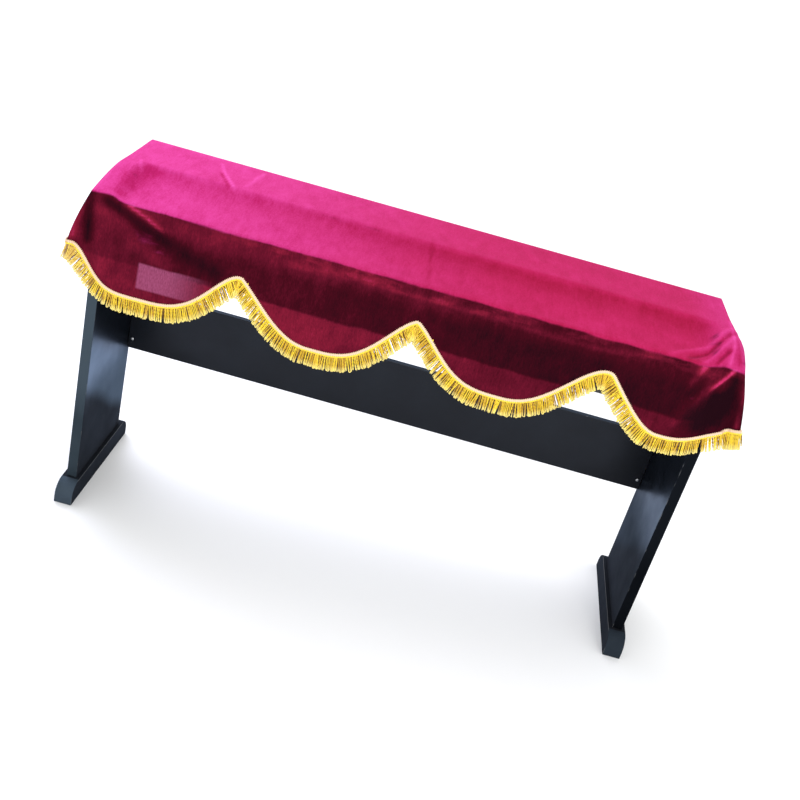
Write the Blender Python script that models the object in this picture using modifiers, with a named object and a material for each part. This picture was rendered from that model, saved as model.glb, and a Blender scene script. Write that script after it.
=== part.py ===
"""Velvet piano cover with a gold looped fringe, on a plain digital piano case and its stand."""

import math
import random
from collections import namedtuple

import bmesh
import bpy
from mathutils import Vector

# Metres. +X is the player's right, -Y is the player's side, Z = 0 is the floor.
TOUCH_GAP = 0.0003  # between pieces that rest on each other
SAME_PLACE = 0.000001  # two values nearer than this are one

# Stand: two feet, two side panels and a board across the back.
PANEL_OUTER_X = 0.665
PANEL_THICK = 0.023
PANEL_DEPTH = 0.270
STAND_TOP = 0.620
FOOT_WIDTH = 0.041
FOOT_LENGTH = 0.353
FOOT_HEIGHT = 0.050
FOOT_ROUND = 0.034
FOOT_EDGE_ROUND = 0.002
BOARD_LOW = 0.278
BOARD_HIGH = 0.431
BOARD_THICK = 0.015
BOARD_EDGE_ROUND = 0.001
PANEL_EDGE_ROUND = 0.0015
SCREW_X = 0.632
SCREW_Z = 0.303
SCREW_RADIUS = 0.0042
SCREW_HEAD = 0.0022
SCREW_TAPER = 0.8

# Piano case: a plain slab, raised along the back and at both ends.
CASE_HALF_WIDTH = 0.660
CASE_FRONT = -0.157
CASE_BACK = 0.163
CASE_TOP = 0.779
CASE_LIP_TOP = 0.7410
CASE_STEP_Y = 0.014
KEY_BED_FRONT = -0.130
KEY_BED_TOP = 0.733
CUT_PAST = 0.05  # how far a cutter runs past the face that it opens
END_BLOCK_WIDTH = 0.028
CASE_EDGE_ROUND = 0.006
# The end blocks' top from the front edge up to the full height, as (y, z).
END_BLOCK_SLOPE = ((CASE_FRONT, 0.747), (-0.100, 0.762), (-0.055, 0.771), (-0.015, CASE_TOP))

# Cover: one sheet of velvet, its outer face 2 mm clear of the case beyond its own thickness.
CLOTH_THICK = 0.002
EDGE_CLEAR = 0.002
COVER_HALF_WIDTH = CASE_HALF_WIDTH + EDGE_CLEAR + CLOTH_THICK
COVER_FRONT = CASE_FRONT - EDGE_CLEAR - CLOTH_THICK
COVER_BACK = CASE_BACK + EDGE_CLEAR + CLOTH_THICK
EDGE_TURN = 0.003  # radius with which the sheet turns down over the edges
EDGE_FALL = 0.004  # how far it has fallen where it turns upright
END_STAND_OFF = 0.007  # how far the sheet stands off the ends at the front
STAND_OFF_FROM = 0.090  # the Y place where it starts to
BACK_HEM_Z = 0.645
SIDE_HEM_SAG = 0.016
BACK_OUT = 0.006
DROP_STEPS = (0.0, 0.14, 0.30, 0.48, 0.66, 0.83, 1.0)  # share of each drop, edge to hem
BULGE = 0.003

# The sheet's outer face along Y: over the left end block, the sunk middle, the right end block.
Profile = namedtuple("Profile", "y left_end middle right_end")
PROFILE = (
    Profile(COVER_BACK - EDGE_TURN, 0.7812, 0.7812, 0.7812),
    Profile(0.154, 0.7818, 0.7818, 0.7818),
    Profile(0.110, 0.7816, 0.7816, 0.7817),
    Profile(0.060, 0.7815, 0.7814, 0.7817),
    Profile(0.018, 0.7815, 0.7815, 0.7817),
    Profile(0.002, 0.7814, 0.7790, 0.7817),
    Profile(-0.015, 0.7813, 0.7712, 0.7817),
    Profile(-0.037, 0.7795, 0.7635, 0.7817),
    Profile(-0.066, 0.7748, 0.7570, 0.7812),
    Profile(-0.096, 0.7688, 0.7522, 0.7785),
    Profile(-0.121, 0.7632, 0.7492, 0.7710),
    Profile(-0.142, 0.7582, 0.7472, 0.7630),
    Profile(-0.152, 0.7560, 0.7462, 0.7575),
    Profile(COVER_FRONT + EDGE_TURN, 0.7535, 0.7445, 0.7525),
)
END_SLOPE_IN = 0.600  # |x| where the sheet has sunk to its middle height
END_SLOPE_OUT = 0.634

# Soft waves of the top between the end blocks, front to back.
TOP_WAVE = 0.0012
TOP_WAVE_LENGTH = 0.310
TOP_WAVE_SLANT = 9.0  # radians of shift for each metre of depth
WAVE_FADE = 0.050

# Scalloped front hem: its peaks, and the low point of the swag between each two.
Peak = namedtuple("Peak", "x z")
PEAKS = (
    Peak(-0.704, 0.639),
    Peak(-0.341, 0.658),
    Peak(0.023, 0.6715),
    Peak(0.430, 0.675),
    Peak(0.709, 0.629),
)
# lateness: how long the hem stays low; tip: how straight it runs into the peak.
Low = namedtuple("Low", "x z left_lateness left_tip right_lateness right_tip")
LOWS = (
    Low(-0.547, 0.553, 2.15, 0.0, 1.87, -0.4),
    Low(-0.180, 0.5485, 1.17, 1.15, 1.75, 0.3),
    Low(0.220, 0.559, 1.65, 0.65, 1.37, -0.6),
    Low(0.5505, 0.5755, 0.90, 1.45, 1.52, 0.8),
)
COLUMN_STEP = 0.027
PEAK_STEP = 0.009
HEM_OUT = 0.007
BELLY_OUT = 0.004

# How the hem stands off the corner's two edges: a leg is one of the edges, read from the
# corner. spread shifts the hem along the leg, towards the corner; out pushes it off the case.
Fold = namedtuple("Fold", "from_corner spread out")
FRONT_LEG_LEFT = (
    Fold(0.000, 0.040, 0.015),
    Fold(0.006, 0.038, 0.005),
    Fold(0.014, 0.032, 0.000),
    Fold(0.026, 0.027, 0.000),
    Fold(0.042, 0.022, 0.004),
    Fold(0.065, 0.016, 0.010),
    Fold(0.095, 0.009, 0.011),
    Fold(0.135, 0.003, 0.009),
    Fold(0.180, 0.000, HEM_OUT),
)
FRONT_LEG_RIGHT = (
    Fold(0.000, 0.045, 0.017),
    Fold(0.006, 0.040, 0.008),
    Fold(0.014, 0.041, 0.000),
    Fold(0.026, 0.036, 0.000),
    Fold(0.042, 0.031, 0.000),
    Fold(0.065, 0.026, 0.006),
    Fold(0.095, 0.019, 0.012),
    Fold(0.135, 0.010, 0.010),
    Fold(0.180, 0.003, HEM_OUT),
)
SIDE_LEG = (
    Fold(0.000, 0.016, 0.042),
    Fold(0.006, 0.009, 0.043),
    Fold(0.016, 0.005, 0.034),
    Fold(0.037, 0.002, 0.025),
    Fold(0.062, 0.000, 0.019),
    Fold(0.100, 0.000, 0.015),
    Fold(0.170, 0.000, 0.013),
)
BACK_CORNER_LEG = (
    Fold(0.000, 0.020, 0.012),
    Fold(0.009, 0.014, 0.010),
    Fold(0.050, 0.003, 0.008),
    Fold(0.110, 0.000, BACK_OUT),
)
SIDE_BACK_LEG = (
    Fold(0.000, 0.012, 0.020),
    Fold(0.009, 0.006, 0.018),
    Fold(0.050, 0.001, 0.014),
    Fold(0.110, 0.000, 0.013),
)

# Long folds that cross the front drop from near its top edge, pushed out or drawn in.
Drag = namedtuple("Drag", "start_x start_z end_x end_z half_width out")
DRAGS = (
    Drag(-0.605, 0.742, -0.500, 0.685, 0.014, 0.005),
    Drag(-0.640, 0.742, -0.380, 0.650, 0.017, -0.008),
    Drag(-0.640, 0.700, -0.430, 0.610, 0.028, 0.004),
    Drag(0.655, 0.742, 0.592, 0.612, 0.015, 0.007),
    Drag(0.640, 0.742, 0.500, 0.712, 0.012, 0.003),
)
DRAG_FADE = 0.025

# Fringe: a woven braid just under the hem, with locks of looped thread hanging from it.
BRAID_GAP = 0.0014
BRAID_HEIGHT = 0.0090
BRAID_THICK = 0.0024
LOCK_PITCH = 0.0105
LOCK_LENGTH = 0.0310
LOCK_LENGTH_SPREAD = 0.0022
LOCK_SWAY = 0.0006
LOCK_TAPER = 0.72
BRAID_END_TRIM = 0.0055

VELVET = (0.42, 0.015, 0.12, 1.0)
GOLD = (0.86, 0.60, 0.06, 1.0)
BLACK = (0.012, 0.014, 0.018, 1.0)
CASE_BLACK = (0.020, 0.020, 0.022, 1.0)
STEEL = (0.45, 0.45, 0.47, 1.0)


def clear_scene():
    for item in list(bpy.data.objects):
        bpy.data.objects.remove(item, do_unlink=True)


def collection(name, hidden=False):
    group = bpy.data.collections.new(name)
    bpy.context.scene.collection.children.link(group)
    group.hide_render = hidden
    return group


def material(name, colour, roughness, metallic=0.0):
    made = bpy.data.materials.new(name)
    made.use_nodes = True
    shader = made.node_tree.nodes["Principled BSDF"]
    shader.inputs["Base Color"].default_value = colour
    shader.inputs["Roughness"].default_value = roughness
    shader.inputs["Metallic"].default_value = metallic
    return made


def add_object(name, mesh, finish, group):
    item = bpy.data.objects.new(name, mesh)
    if finish:
        mesh.materials.append(finish)
    group.objects.link(item)
    return item


def bevel(item, width, segments=2):
    rounding = item.modifiers.new("edge_round", "BEVEL")
    rounding.width = width
    rounding.segments = segments
    rounding.limit_method = "ANGLE"


def box(name, low, high, finish, group):
    """A block between two opposite corners."""
    low, high = Vector(low), Vector(high)
    build = bmesh.new()
    bmesh.ops.create_cube(build, size=1.0)
    for vert in build.verts:
        vert.co = Vector(vert.co[i] * (high[i] - low[i]) for i in range(3))
    mesh = bpy.data.meshes.new(name)
    build.to_mesh(mesh)
    build.free()
    item = add_object(name, mesh, finish, group)
    item.location = (low + high) / 2
    return item


def side_profile(name, points, width, finish, group):
    """A flat outline in the Y-Z plane, given thickness along X."""
    curve = bpy.data.curves.new(name + "_outline", "CURVE")
    curve.dimensions = "2D"
    curve.fill_mode = "BOTH"
    curve.extrude = width / 2
    line = curve.splines.new("POLY")
    line.points.add(len(points) - 1)
    for point, (y, z) in zip(line.points, points):
        point.co = (y, z, 0.0, 1.0)
    line.use_cyclic_u = True
    guide = bpy.data.objects.new(name + "_outline", curve)
    group.objects.link(guide)
    shown = guide.evaluated_get(bpy.context.evaluated_depsgraph_get())
    mesh = bpy.data.meshes.new_from_object(shown)
    bpy.data.objects.remove(guide, do_unlink=True)
    build = bmesh.new()
    build.from_mesh(mesh)
    bmesh.ops.remove_doubles(build, verts=build.verts, dist=0.00001)
    for vert in build.verts:
        y, z, x = vert.co
        vert.co = (x, y, z)
    bmesh.ops.recalc_face_normals(build, faces=build.faces)
    build.to_mesh(mesh)
    build.free()
    mesh.name = name
    return add_object(name, mesh, finish, group)


def arc(centre_y, centre_z, radius, start, end, steps):
    """Points on a quarter round, angles in degrees."""
    angles = [math.radians(start + (end - start) * i / steps) for i in range(steps + 1)]
    return [(centre_y + radius * math.cos(a), centre_z + radius * math.sin(a)) for a in angles]


def ease(share):
    share = min(1.0, max(0.0, share))
    return share * share * (3 - 2 * share)


def read_table(rows, key, value, at):
    """A column of a table, read in straight lines between its rows."""
    rows = sorted(rows, key=lambda row: getattr(row, key))
    at = min(max(at, getattr(rows[0], key)), getattr(rows[-1], key))
    for before, after in zip(rows, rows[1:]):
        if at <= getattr(after, key):
            span = getattr(after, key) - getattr(before, key)
            share = (at - getattr(before, key)) / span
            return getattr(before, value) * (1 - share) + getattr(after, value) * share
    return getattr(rows[-1], value)


# ---- Stand and case ----


def make_feet(finish, group):
    half = FOOT_LENGTH / 2
    toe = arc(-half + FOOT_ROUND, FOOT_HEIGHT - FOOT_ROUND, FOOT_ROUND, 180, 90, 6)
    heel = arc(half - FOOT_ROUND, FOOT_HEIGHT - FOOT_ROUND, FOOT_ROUND, 90, 0, 6)
    outline = [(-half, 0.0)] + toe + heel + [(half, 0.0)]
    for side, name in ((-1, "foot_left"), (1, "foot_right")):
        foot = side_profile(name, outline, FOOT_WIDTH, finish, group)
        foot.location.x = side * (PANEL_OUTER_X - PANEL_THICK / 2)
        bevel(foot, FOOT_EDGE_ROUND)


def make_side_panels(finish, group):
    inner = PANEL_OUTER_X - PANEL_THICK
    for side, name in ((-1, "side_panel_left"), (1, "side_panel_right")):
        near, far = sorted((side * inner, side * PANEL_OUTER_X))
        low = (near, -PANEL_DEPTH / 2, FOOT_HEIGHT + TOUCH_GAP)
        high = (far, PANEL_DEPTH / 2, STAND_TOP)
        bevel(box(name, low, high, finish, group), PANEL_EDGE_ROUND)


def make_back_board(finish, group):
    half = PANEL_OUTER_X - PANEL_THICK - TOUCH_GAP
    low = (-half, PANEL_DEPTH / 2 - BOARD_THICK, BOARD_LOW)
    high = (half, PANEL_DEPTH / 2, BOARD_HIGH)
    bevel(box("back_board", low, high, finish, group), BOARD_EDGE_ROUND)


def make_screws(finish, group):
    front = PANEL_DEPTH / 2 - BOARD_THICK - TOUCH_GAP
    for side, name in ((-1, "board_screw_left"), (1, "board_screw_right")):
        build = bmesh.new()
        bmesh.ops.create_cone(
            build,
            cap_ends=True,
            segments=16,
            radius1=SCREW_RADIUS,
            radius2=SCREW_RADIUS * SCREW_TAPER,
            depth=SCREW_HEAD,
        )
        mesh = bpy.data.meshes.new(name)
        build.to_mesh(mesh)
        build.free()
        screw = add_object(name, mesh, finish, group)
        screw.rotation_euler.x = math.pi / 2
        screw.location = (side * SCREW_X, front - SCREW_HEAD / 2, SCREW_Z)


def make_case(finish, group, cutters):
    """The slab in side view, then its middle lowered between the end blocks."""
    low = STAND_TOP + TOUCH_GAP
    outline = [(CASE_FRONT, low), *END_BLOCK_SLOPE, (CASE_BACK, CASE_TOP), (CASE_BACK, low)]
    case = side_profile("piano_case", outline, 2 * CASE_HALF_WIDTH, finish, group)
    inner = CASE_HALF_WIDTH - END_BLOCK_WIDTH
    before, above = CASE_FRONT - CUT_PAST, CASE_TOP + CUT_PAST
    cuts = (
        ("cut_middle", (-inner, before, CASE_LIP_TOP), (inner, CASE_STEP_Y, above)),
        ("cut_key_bed", (-inner, KEY_BED_FRONT, KEY_BED_TOP), (inner, CASE_STEP_Y, above)),
    )
    for name, low, high in cuts:
        cutter = box(name, low, high, None, cutters)
        cutter.hide_render = True
        cutter.display_type = "WIRE"
        cut = case.modifiers.new(name, "BOOLEAN")
        cut.operation = "DIFFERENCE"
        cut.object = cutter
    bevel(case, CASE_EDGE_ROUND, 1)


# ---- Cover ----


def rise(share, lateness, tip):
    """Climb of a hem from its low point (0) to a peak (1)."""
    s = share**lateness
    return s * s * (3 - 2 * s) + tip * (s**3 - s**2)


def swag_share(x):
    """0 at a swag's low point, 1 at a peak, and the swag's low and peak heights there."""
    x = min(max(x, PEAKS[0].x), PEAKS[-1].x)
    for left, low, right in zip(PEAKS, LOWS, PEAKS[1:]):
        if x <= right.x:
            if x < low.x:
                share = (low.x - x) / (low.x - left.x)
                return rise(share, low.left_lateness, low.left_tip), low.z, left.z
            share = (x - low.x) / (right.x - low.x)
            return rise(share, low.right_lateness, low.right_tip), low.z, right.z
    return 1.0, LOWS[-1].z, PEAKS[-1].z


def front_hem_z(x):
    share, low_z, peak_z = swag_share(x)
    return low_z + (peak_z - low_z) * share


def side_hem_z(y, side):
    """From the front corner's height, with a slight sag, to the back hem's height."""
    corner = PEAKS[0].z if side < 0 else PEAKS[-1].z
    share = (y - COVER_FRONT) / (COVER_BACK - COVER_FRONT)
    share = min(1.0, max(0.0, share))
    sag = SIDE_HEM_SAG * 4 * share * (1 - share)
    return corner + (BACK_HEM_Z - corner) * share - sag


def top_z(x, y):
    """Height of the sheet's outer face over the case."""
    at_end = read_table(PROFILE, "y", "left_end" if x < 0 else "right_end", y)
    at_middle = read_table(PROFILE, "y", "middle", y)
    over_end = ease((abs(x) - END_SLOPE_IN) / (END_SLOPE_OUT - END_SLOPE_IN))
    sunk = ease((CASE_STEP_Y - y) / WAVE_FADE) * ease((y - COVER_FRONT) / WAVE_FADE)
    swell = math.sin(2 * math.pi * x / TOP_WAVE_LENGTH + TOP_WAVE_SLANT * y)
    wave = TOP_WAVE * swell * (1 - over_end) * sunk
    return at_middle * (1 - over_end) + at_end * over_end + wave


def drag_out(x, z):
    """Sum of the long folds at a point of the front drop."""
    total = 0.0
    for fold in DRAGS:
        run = Vector((fold.end_x - fold.start_x, fold.end_z - fold.start_z))
        place = Vector((x - fold.start_x, z - fold.start_z))
        along = place.dot(run.normalized())
        across = abs(run.x * place.y - run.y * place.x) / run.length
        fade = ease(along / DRAG_FADE) * ease((run.length + DRAG_FADE - along) / (2 * DRAG_FADE))
        total += fold.out * fade * math.exp(-((across / fold.half_width) ** 2))
    return total


def on_front(y):
    return y < COVER_FRONT + EDGE_TURN + SAME_PLACE


def on_back(y):
    return y > COVER_BACK - EDGE_TURN - SAME_PLACE


def hem_point(x, y):
    """Where the sheet's hem hangs below the point x, y of its top edge."""
    side = -1 if x < 0 else 1
    from_end = COVER_HALF_WIDTH - EDGE_TURN - abs(x)
    from_front = y - (COVER_FRONT + EDGE_TURN)
    from_back = (COVER_BACK - EDGE_TURN) - y
    if on_front(y):  # front edge, its corners included
        leg = FRONT_LEG_LEFT if side < 0 else FRONT_LEG_RIGHT
        spread = read_table(leg, "from_corner", "spread", from_end)
        out = read_table(leg, "from_corner", "out", from_end)
        base_x = side * COVER_HALF_WIDTH if from_end < SAME_PLACE else x
        hem_x = base_x + side * spread
        belly = BELLY_OUT * (1 - swag_share(hem_x)[0]) * ease(from_end / leg[-1].from_corner)
        return Vector((hem_x, COVER_FRONT - out - belly, front_hem_z(hem_x)))
    if on_back(y):  # back edge and its corners
        spread = read_table(BACK_CORNER_LEG, "from_corner", "spread", from_end)
        out = read_table(BACK_CORNER_LEG, "from_corner", "out", from_end)
        base_x = side * COVER_HALF_WIDTH if from_end < SAME_PLACE else x
        return Vector((base_x + side * spread, COVER_BACK + out, BACK_HEM_Z))
    spread = -read_table(SIDE_LEG, "from_corner", "spread", from_front)
    spread += read_table(SIDE_BACK_LEG, "from_corner", "spread", from_back)
    out = max(
        read_table(SIDE_LEG, "from_corner", "out", from_front),
        read_table(SIDE_BACK_LEG, "from_corner", "out", from_back),
    )
    hem_y = y + spread
    return Vector((side * (COVER_HALF_WIDTH + out), hem_y, side_hem_z(hem_y, side)))


def edge_point(x, y):
    """The top edge's point on the drop's upright plane, just below the turn."""
    on_side = abs(x) > COVER_HALF_WIDTH - EDGE_TURN - SAME_PLACE
    stand_off = END_STAND_OFF * ease((STAND_OFF_FROM - y) / (STAND_OFF_FROM - COVER_FRONT))
    edge_x = math.copysign(COVER_HALF_WIDTH + stand_off, x) if on_side else x
    edge_y = y
    if on_front(y):
        edge_y = COVER_FRONT
    if on_back(y):
        edge_y = COVER_BACK
    return Vector((edge_x, edge_y, top_z(x, y) - EDGE_FALL))


def drop_point(x, y, share):
    """A point of the hanging part: share runs from the top edge (0) to the hem (1)."""
    edge, hem = edge_point(x, y), hem_point(x, y)
    point = edge.lerp(hem, share)
    outward = Vector((hem.x - edge.x, hem.y - edge.y, 0.0))
    if outward.length > SAME_PLACE:
        point += outward.normalized() * BULGE * 4 * share * (1 - share)
    if on_front(y):
        pushed = point.y - drag_out(point.x, point.z) * ease(share / DROP_STEPS[1])
        point.y = min(pushed, COVER_FRONT)
    return point


def spaced(start, end, step):
    count = max(1, round((end - start) / step))
    return [start + (end - start) * i / count for i in range(count)]


def column_lines():
    """X places of the sheet's columns: close at the corners and peaks, wider between."""
    end = COVER_HALF_WIDTH - EDGE_TURN
    left = [-end + fold.from_corner for fold in FRONT_LEG_LEFT]
    right = [end - fold.from_corner for fold in reversed(FRONT_LEG_RIGHT)]
    stations = [left.pop()]
    for peak in PEAKS[1:-1]:
        stations += [peak.x - PEAK_STEP, peak.x, peak.x + PEAK_STEP]
    lines = left
    for start, stop in zip(stations, stations[1:] + [right[0]]):
        lines += spaced(start, stop, COLUMN_STEP)
    return lines + right


def make_cloth(finish, group):
    """A flat grid is laid over the case, and its rim is drawn down to the hem."""
    columns = column_lines()
    rows = sorted(row.y for row in PROFILE)
    build = bmesh.new()
    bmesh.ops.create_grid(build, x_segments=len(columns) - 1, y_segments=len(rows) - 1, size=0.5)
    place = {}
    for vert in build.verts:
        x = columns[round((vert.co.x + 0.5) * (len(columns) - 1))]
        y = rows[round((vert.co.y + 0.5) * (len(rows) - 1))]
        vert.co = (x, y, top_z(x, y))
        place[vert] = (x, y)
    for face in build.faces:
        if face.normal.z < 0:
            face.normal_flip()
    rim = [edge for edge in build.edges if edge.is_boundary]
    for share in DROP_STEPS:
        made = bmesh.ops.extrude_edge_only(build, edges=rim)["geom"]
        drawn = {}
        for vert in (item for item in made if isinstance(item, bmesh.types.BMVert)):
            neighbours = [edge.other_vert(vert) for edge in vert.link_edges]
            drawn[vert] = next(place[other] for other in neighbours if other in place)
        for vert, (x, y) in drawn.items():
            vert.co = drop_point(x, y, share)
        place = drawn
        rim = [item for item in made if isinstance(item, bmesh.types.BMEdge) and item.is_boundary]
    bmesh.ops.recalc_face_normals(build, faces=build.faces)
    mesh = bpy.data.meshes.new("cover_cloth")
    build.to_mesh(mesh)
    build.free()
    mesh.shade_smooth()
    cloth = add_object("cover_cloth", mesh, finish, group)
    shell = cloth.modifiers.new("thickness", "SOLIDIFY")
    shell.thickness = CLOTH_THICK
    shell.offset = -1.0
    shell.use_even_offset = True
    shell.use_quality_normals = True


# ---- Fringe ----


def hem_lines():
    """The hem's corner points, as three runs: front, left side and right side."""
    ys = sorted(row.y for row in PROFILE)
    xs = column_lines()
    front = [hem_point(x, ys[0]) for x in xs]
    left = [hem_point(xs[0], y) for y in reversed(ys)]
    right = [hem_point(xs[-1], y) for y in ys]
    return {"fringe_front": front, "fringe_left": left, "fringe_right": right}


def trimmed(points, length):
    """The same line, cut shorter by length at both ends."""
    for _ in range(2):
        points = list(reversed(points))
        rest = length
        while (points[1] - points[0]).length < rest:
            rest -= (points[1] - points[0]).length
            points.pop(0)
        points[0] = points[0].lerp(points[1], rest / (points[1] - points[0]).length)
    return points


def plan_normals(points):
    """Outward level directions of a line that runs with the cover on its left."""
    turns = []
    for start, end in zip(points, points[1:]):
        run = end - start
        turns.append(Vector((run.y, -run.x, 0.0)).normalized())
    inner = [(a + b).normalized() for a, b in zip(turns, turns[1:])]
    return [turns[0]] + inner + [turns[-1]]


def braid_stations(points):
    """Places along the hem where the braid's cells meet: a lock cell, then a bare one."""
    normals = plan_normals(points)
    stations = []
    for i, (start, end) in enumerate(zip(points, points[1:])):
        cells = 2 * max(1, round((end - start).length / LOCK_PITCH))
        for k in range(cells):
            place = start.lerp(end, k / cells)
            outward = normals[i].lerp(normals[i + 1], k / cells).normalized()
            stations.append((place, outward))
    stations.append((points[-1], normals[-1]))
    return stations


def make_fringe(name, points, finish, group, chance):
    stations = braid_stations(trimmed(points, BRAID_END_TRIM))
    build = bmesh.new()
    rings = []
    for hem, outward in stations:
        top = hem - Vector((0, 0, BRAID_GAP))
        low = top - Vector((0, 0, BRAID_HEIGHT))
        front = outward * (BRAID_THICK - CLOTH_THICK) / 2
        back = front - outward * BRAID_THICK
        corners = (top + front, top + back, low + back, low + front)
        rings.append([build.verts.new(corner) for corner in corners])
    undersides = []
    for before, after in zip(rings, rings[1:]):
        for i in range(4):
            k = (i + 1) % 4
            face = build.faces.new((before[i], before[k], after[k], after[i]))
            if i == 2:
                undersides.append(face)
    build.faces.new(rings[0][::-1])
    build.faces.new(rings[-1])
    locks = bmesh.ops.extrude_discrete_faces(build, faces=undersides[0::2])["faces"]
    for face in locks:
        centre = face.calc_center_median()
        length = LOCK_LENGTH + chance.uniform(-1, 1) * LOCK_LENGTH_SPREAD
        sway = Vector((chance.uniform(-1, 1), chance.uniform(-1, 1), 0.0)) * LOCK_SWAY
        for vert in face.verts:
            level = Vector((vert.co.x, vert.co.y, centre.z))
            vert.co = centre.lerp(level, LOCK_TAPER) + sway - Vector((0, 0, length))
    bmesh.ops.recalc_face_normals(build, faces=build.faces)
    mesh = bpy.data.meshes.new(name)
    build.to_mesh(mesh)
    build.free()
    add_object(name, mesh, finish, group)


def make_all():
    clear_scene()
    parts = collection("piano_cover")
    cutters = collection("cutters", hidden=True)
    black = material("stand_black", BLACK, 0.35)
    case_black = material("case_black", CASE_BLACK, 0.5)
    steel = material("screw_steel", STEEL, 0.35, 1.0)
    velvet = material("velvet", VELVET, 0.85)
    gold = material("gold_thread", GOLD, 0.6)
    make_feet(black, parts)
    make_side_panels(black, parts)
    make_back_board(black, parts)
    make_screws(steel, parts)
    make_case(case_black, parts, cutters)
    make_cloth(velvet, parts)
    chance = random.Random(7)
    for name, points in hem_lines().items():
        make_fringe(name, points, gold, parts, chance)


make_all()
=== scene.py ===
"""A velvet piano cover with a gold loop fringe, over a digital piano on its stand: forms and finishes."""

import math
import random
from collections import namedtuple

import bmesh
import bpy
from mathutils import Matrix, Vector, noise


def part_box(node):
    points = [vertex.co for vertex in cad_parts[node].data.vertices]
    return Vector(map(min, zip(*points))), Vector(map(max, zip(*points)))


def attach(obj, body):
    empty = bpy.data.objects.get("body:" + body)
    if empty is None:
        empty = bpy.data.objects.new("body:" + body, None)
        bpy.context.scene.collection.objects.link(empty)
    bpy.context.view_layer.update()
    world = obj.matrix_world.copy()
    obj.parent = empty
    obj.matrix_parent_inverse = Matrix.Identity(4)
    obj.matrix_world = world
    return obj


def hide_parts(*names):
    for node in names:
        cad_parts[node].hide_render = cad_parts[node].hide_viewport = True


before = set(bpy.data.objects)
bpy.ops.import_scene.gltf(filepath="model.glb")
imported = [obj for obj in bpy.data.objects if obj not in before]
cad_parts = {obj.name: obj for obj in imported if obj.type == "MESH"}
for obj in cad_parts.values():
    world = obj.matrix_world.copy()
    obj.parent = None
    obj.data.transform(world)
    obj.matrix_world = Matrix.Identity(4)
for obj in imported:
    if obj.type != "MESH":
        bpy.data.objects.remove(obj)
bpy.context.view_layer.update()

# ---- Room ----
# A pale floor in a plain studio. Soft daylight falls from high behind the piano, a cooler window
# stands near its left end, and a broad lamp in front keeps the gold trimming bright.

CAMERA_PLACE = Vector((0.0324, -2.132, 1.5153))
CAMERA_TILT = math.radians(62.41)
CAMERA_ROLL = math.radians(15.63)
CAMERA_LENS = 47.75
CAMERA_SHIFT = (-0.0016, 0.0005)
FLOOR_SIDE = 60.0
FLOOR_PALE = (0.90, 0.90, 0.90, 1.0)
FLOOR_ROUGHNESS = 0.8
ROOM_LIGHT = (0.95, 0.97, 1.0, 1.0)
ROOM_STRENGTH = 1.0
DAYLIGHT_PLACE = (-0.9, 1.3, 2.0)
DAYLIGHT_POWER = 1.25
DAYLIGHT_SPREAD = math.radians(55)

Lamp = namedtuple("Lamp", "name place aim wide deep watts colour")
LAMPS = (
    Lamp("window", (-1.75, 1.15, 1.55), (-0.35, 0.0, 0.78), 1.6, 1.2, 26.0, (0.66, 0.70, 1.0)),
    Lamp("front_lamp", (0.9, -3.2, 1.9), (0.0, 0.0, 0.55), 2.6, 1.8, 58.0, (1.0, 0.97, 0.92)),
)


def pick_nothing():
    """Leaves nothing selected, so that an operator acts only on what is made next."""
    bpy.ops.object.select_all(action="DESELECT")


def take(piece):
    """Selects one object alone and makes it the active one."""
    pick_nothing()
    piece.select_set(True)
    bpy.context.view_layer.objects.active = piece


def fix_place(piece):
    """Moves an object's place, turn and scale into its mesh."""
    take(piece)
    bpy.ops.object.transform_apply(location=True, rotation=True, scale=True)


def aimed(light, place, aim):
    """Turns a light at one place towards another."""
    way = Vector(aim) - Vector(place)
    light.rotation_euler = way.to_track_quat("-Z", "Y").to_euler()


def new_material(name):
    """An empty Principled material, its node tree and its shader."""
    made = bpy.data.materials.new(name)
    made.use_nodes = True
    return made, made.node_tree, made.node_tree.nodes["Principled BSDF"]


def dress(piece, finish):
    """Gives a piece one finish in place of any it has."""
    piece.data.materials.clear()
    piece.data.materials.append(finish)


bpy.ops.object.camera_add()
camera = bpy.context.object
camera.name = "camera"
turn = Matrix.Rotation(CAMERA_TILT, 4, "X") @ Matrix.Rotation(CAMERA_ROLL, 4, "Z")
camera.matrix_world = Matrix.Translation(CAMERA_PLACE) @ turn
camera.data.lens = CAMERA_LENS
camera.data.shift_x, camera.data.shift_y = CAMERA_SHIFT
bpy.context.scene.camera = camera

for lamp in LAMPS:
    pick_nothing()
    bpy.ops.object.light_add(type="AREA", location=lamp.place)
    light = bpy.context.object
    light.name = lamp.name
    aimed(light, lamp.place, lamp.aim)
    light.data.shape = "RECTANGLE"
    light.data.size, light.data.size_y = lamp.wide, lamp.deep
    light.data.energy = lamp.watts
    light.data.color = lamp.colour

pick_nothing()
bpy.ops.object.light_add(type="SUN", location=DAYLIGHT_PLACE)
daylight = bpy.context.object
daylight.name = "daylight"
aimed(daylight, DAYLIGHT_PLACE, (0.0, 0.0, 0.0))
daylight.data.energy = DAYLIGHT_POWER
daylight.data.angle = DAYLIGHT_SPREAD

room = bpy.data.worlds.new("room")
room.use_nodes = True
room.node_tree.nodes["Background"].inputs["Color"].default_value = ROOM_LIGHT
room.node_tree.nodes["Background"].inputs["Strength"].default_value = ROOM_STRENGTH
bpy.context.scene.world = room
bpy.context.scene.view_settings.view_transform = "Standard"

pick_nothing()
bpy.ops.mesh.primitive_plane_add(size=FLOOR_SIDE, location=(0, 0, 0))
floor = bpy.context.object
floor.name = "floor"
pale, tree, shader = new_material("pale_floor")
shader.inputs["Base Color"].default_value = FLOOR_PALE
shader.inputs["Roughness"].default_value = FLOOR_ROUGHNESS
dress(floor, pale)


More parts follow.
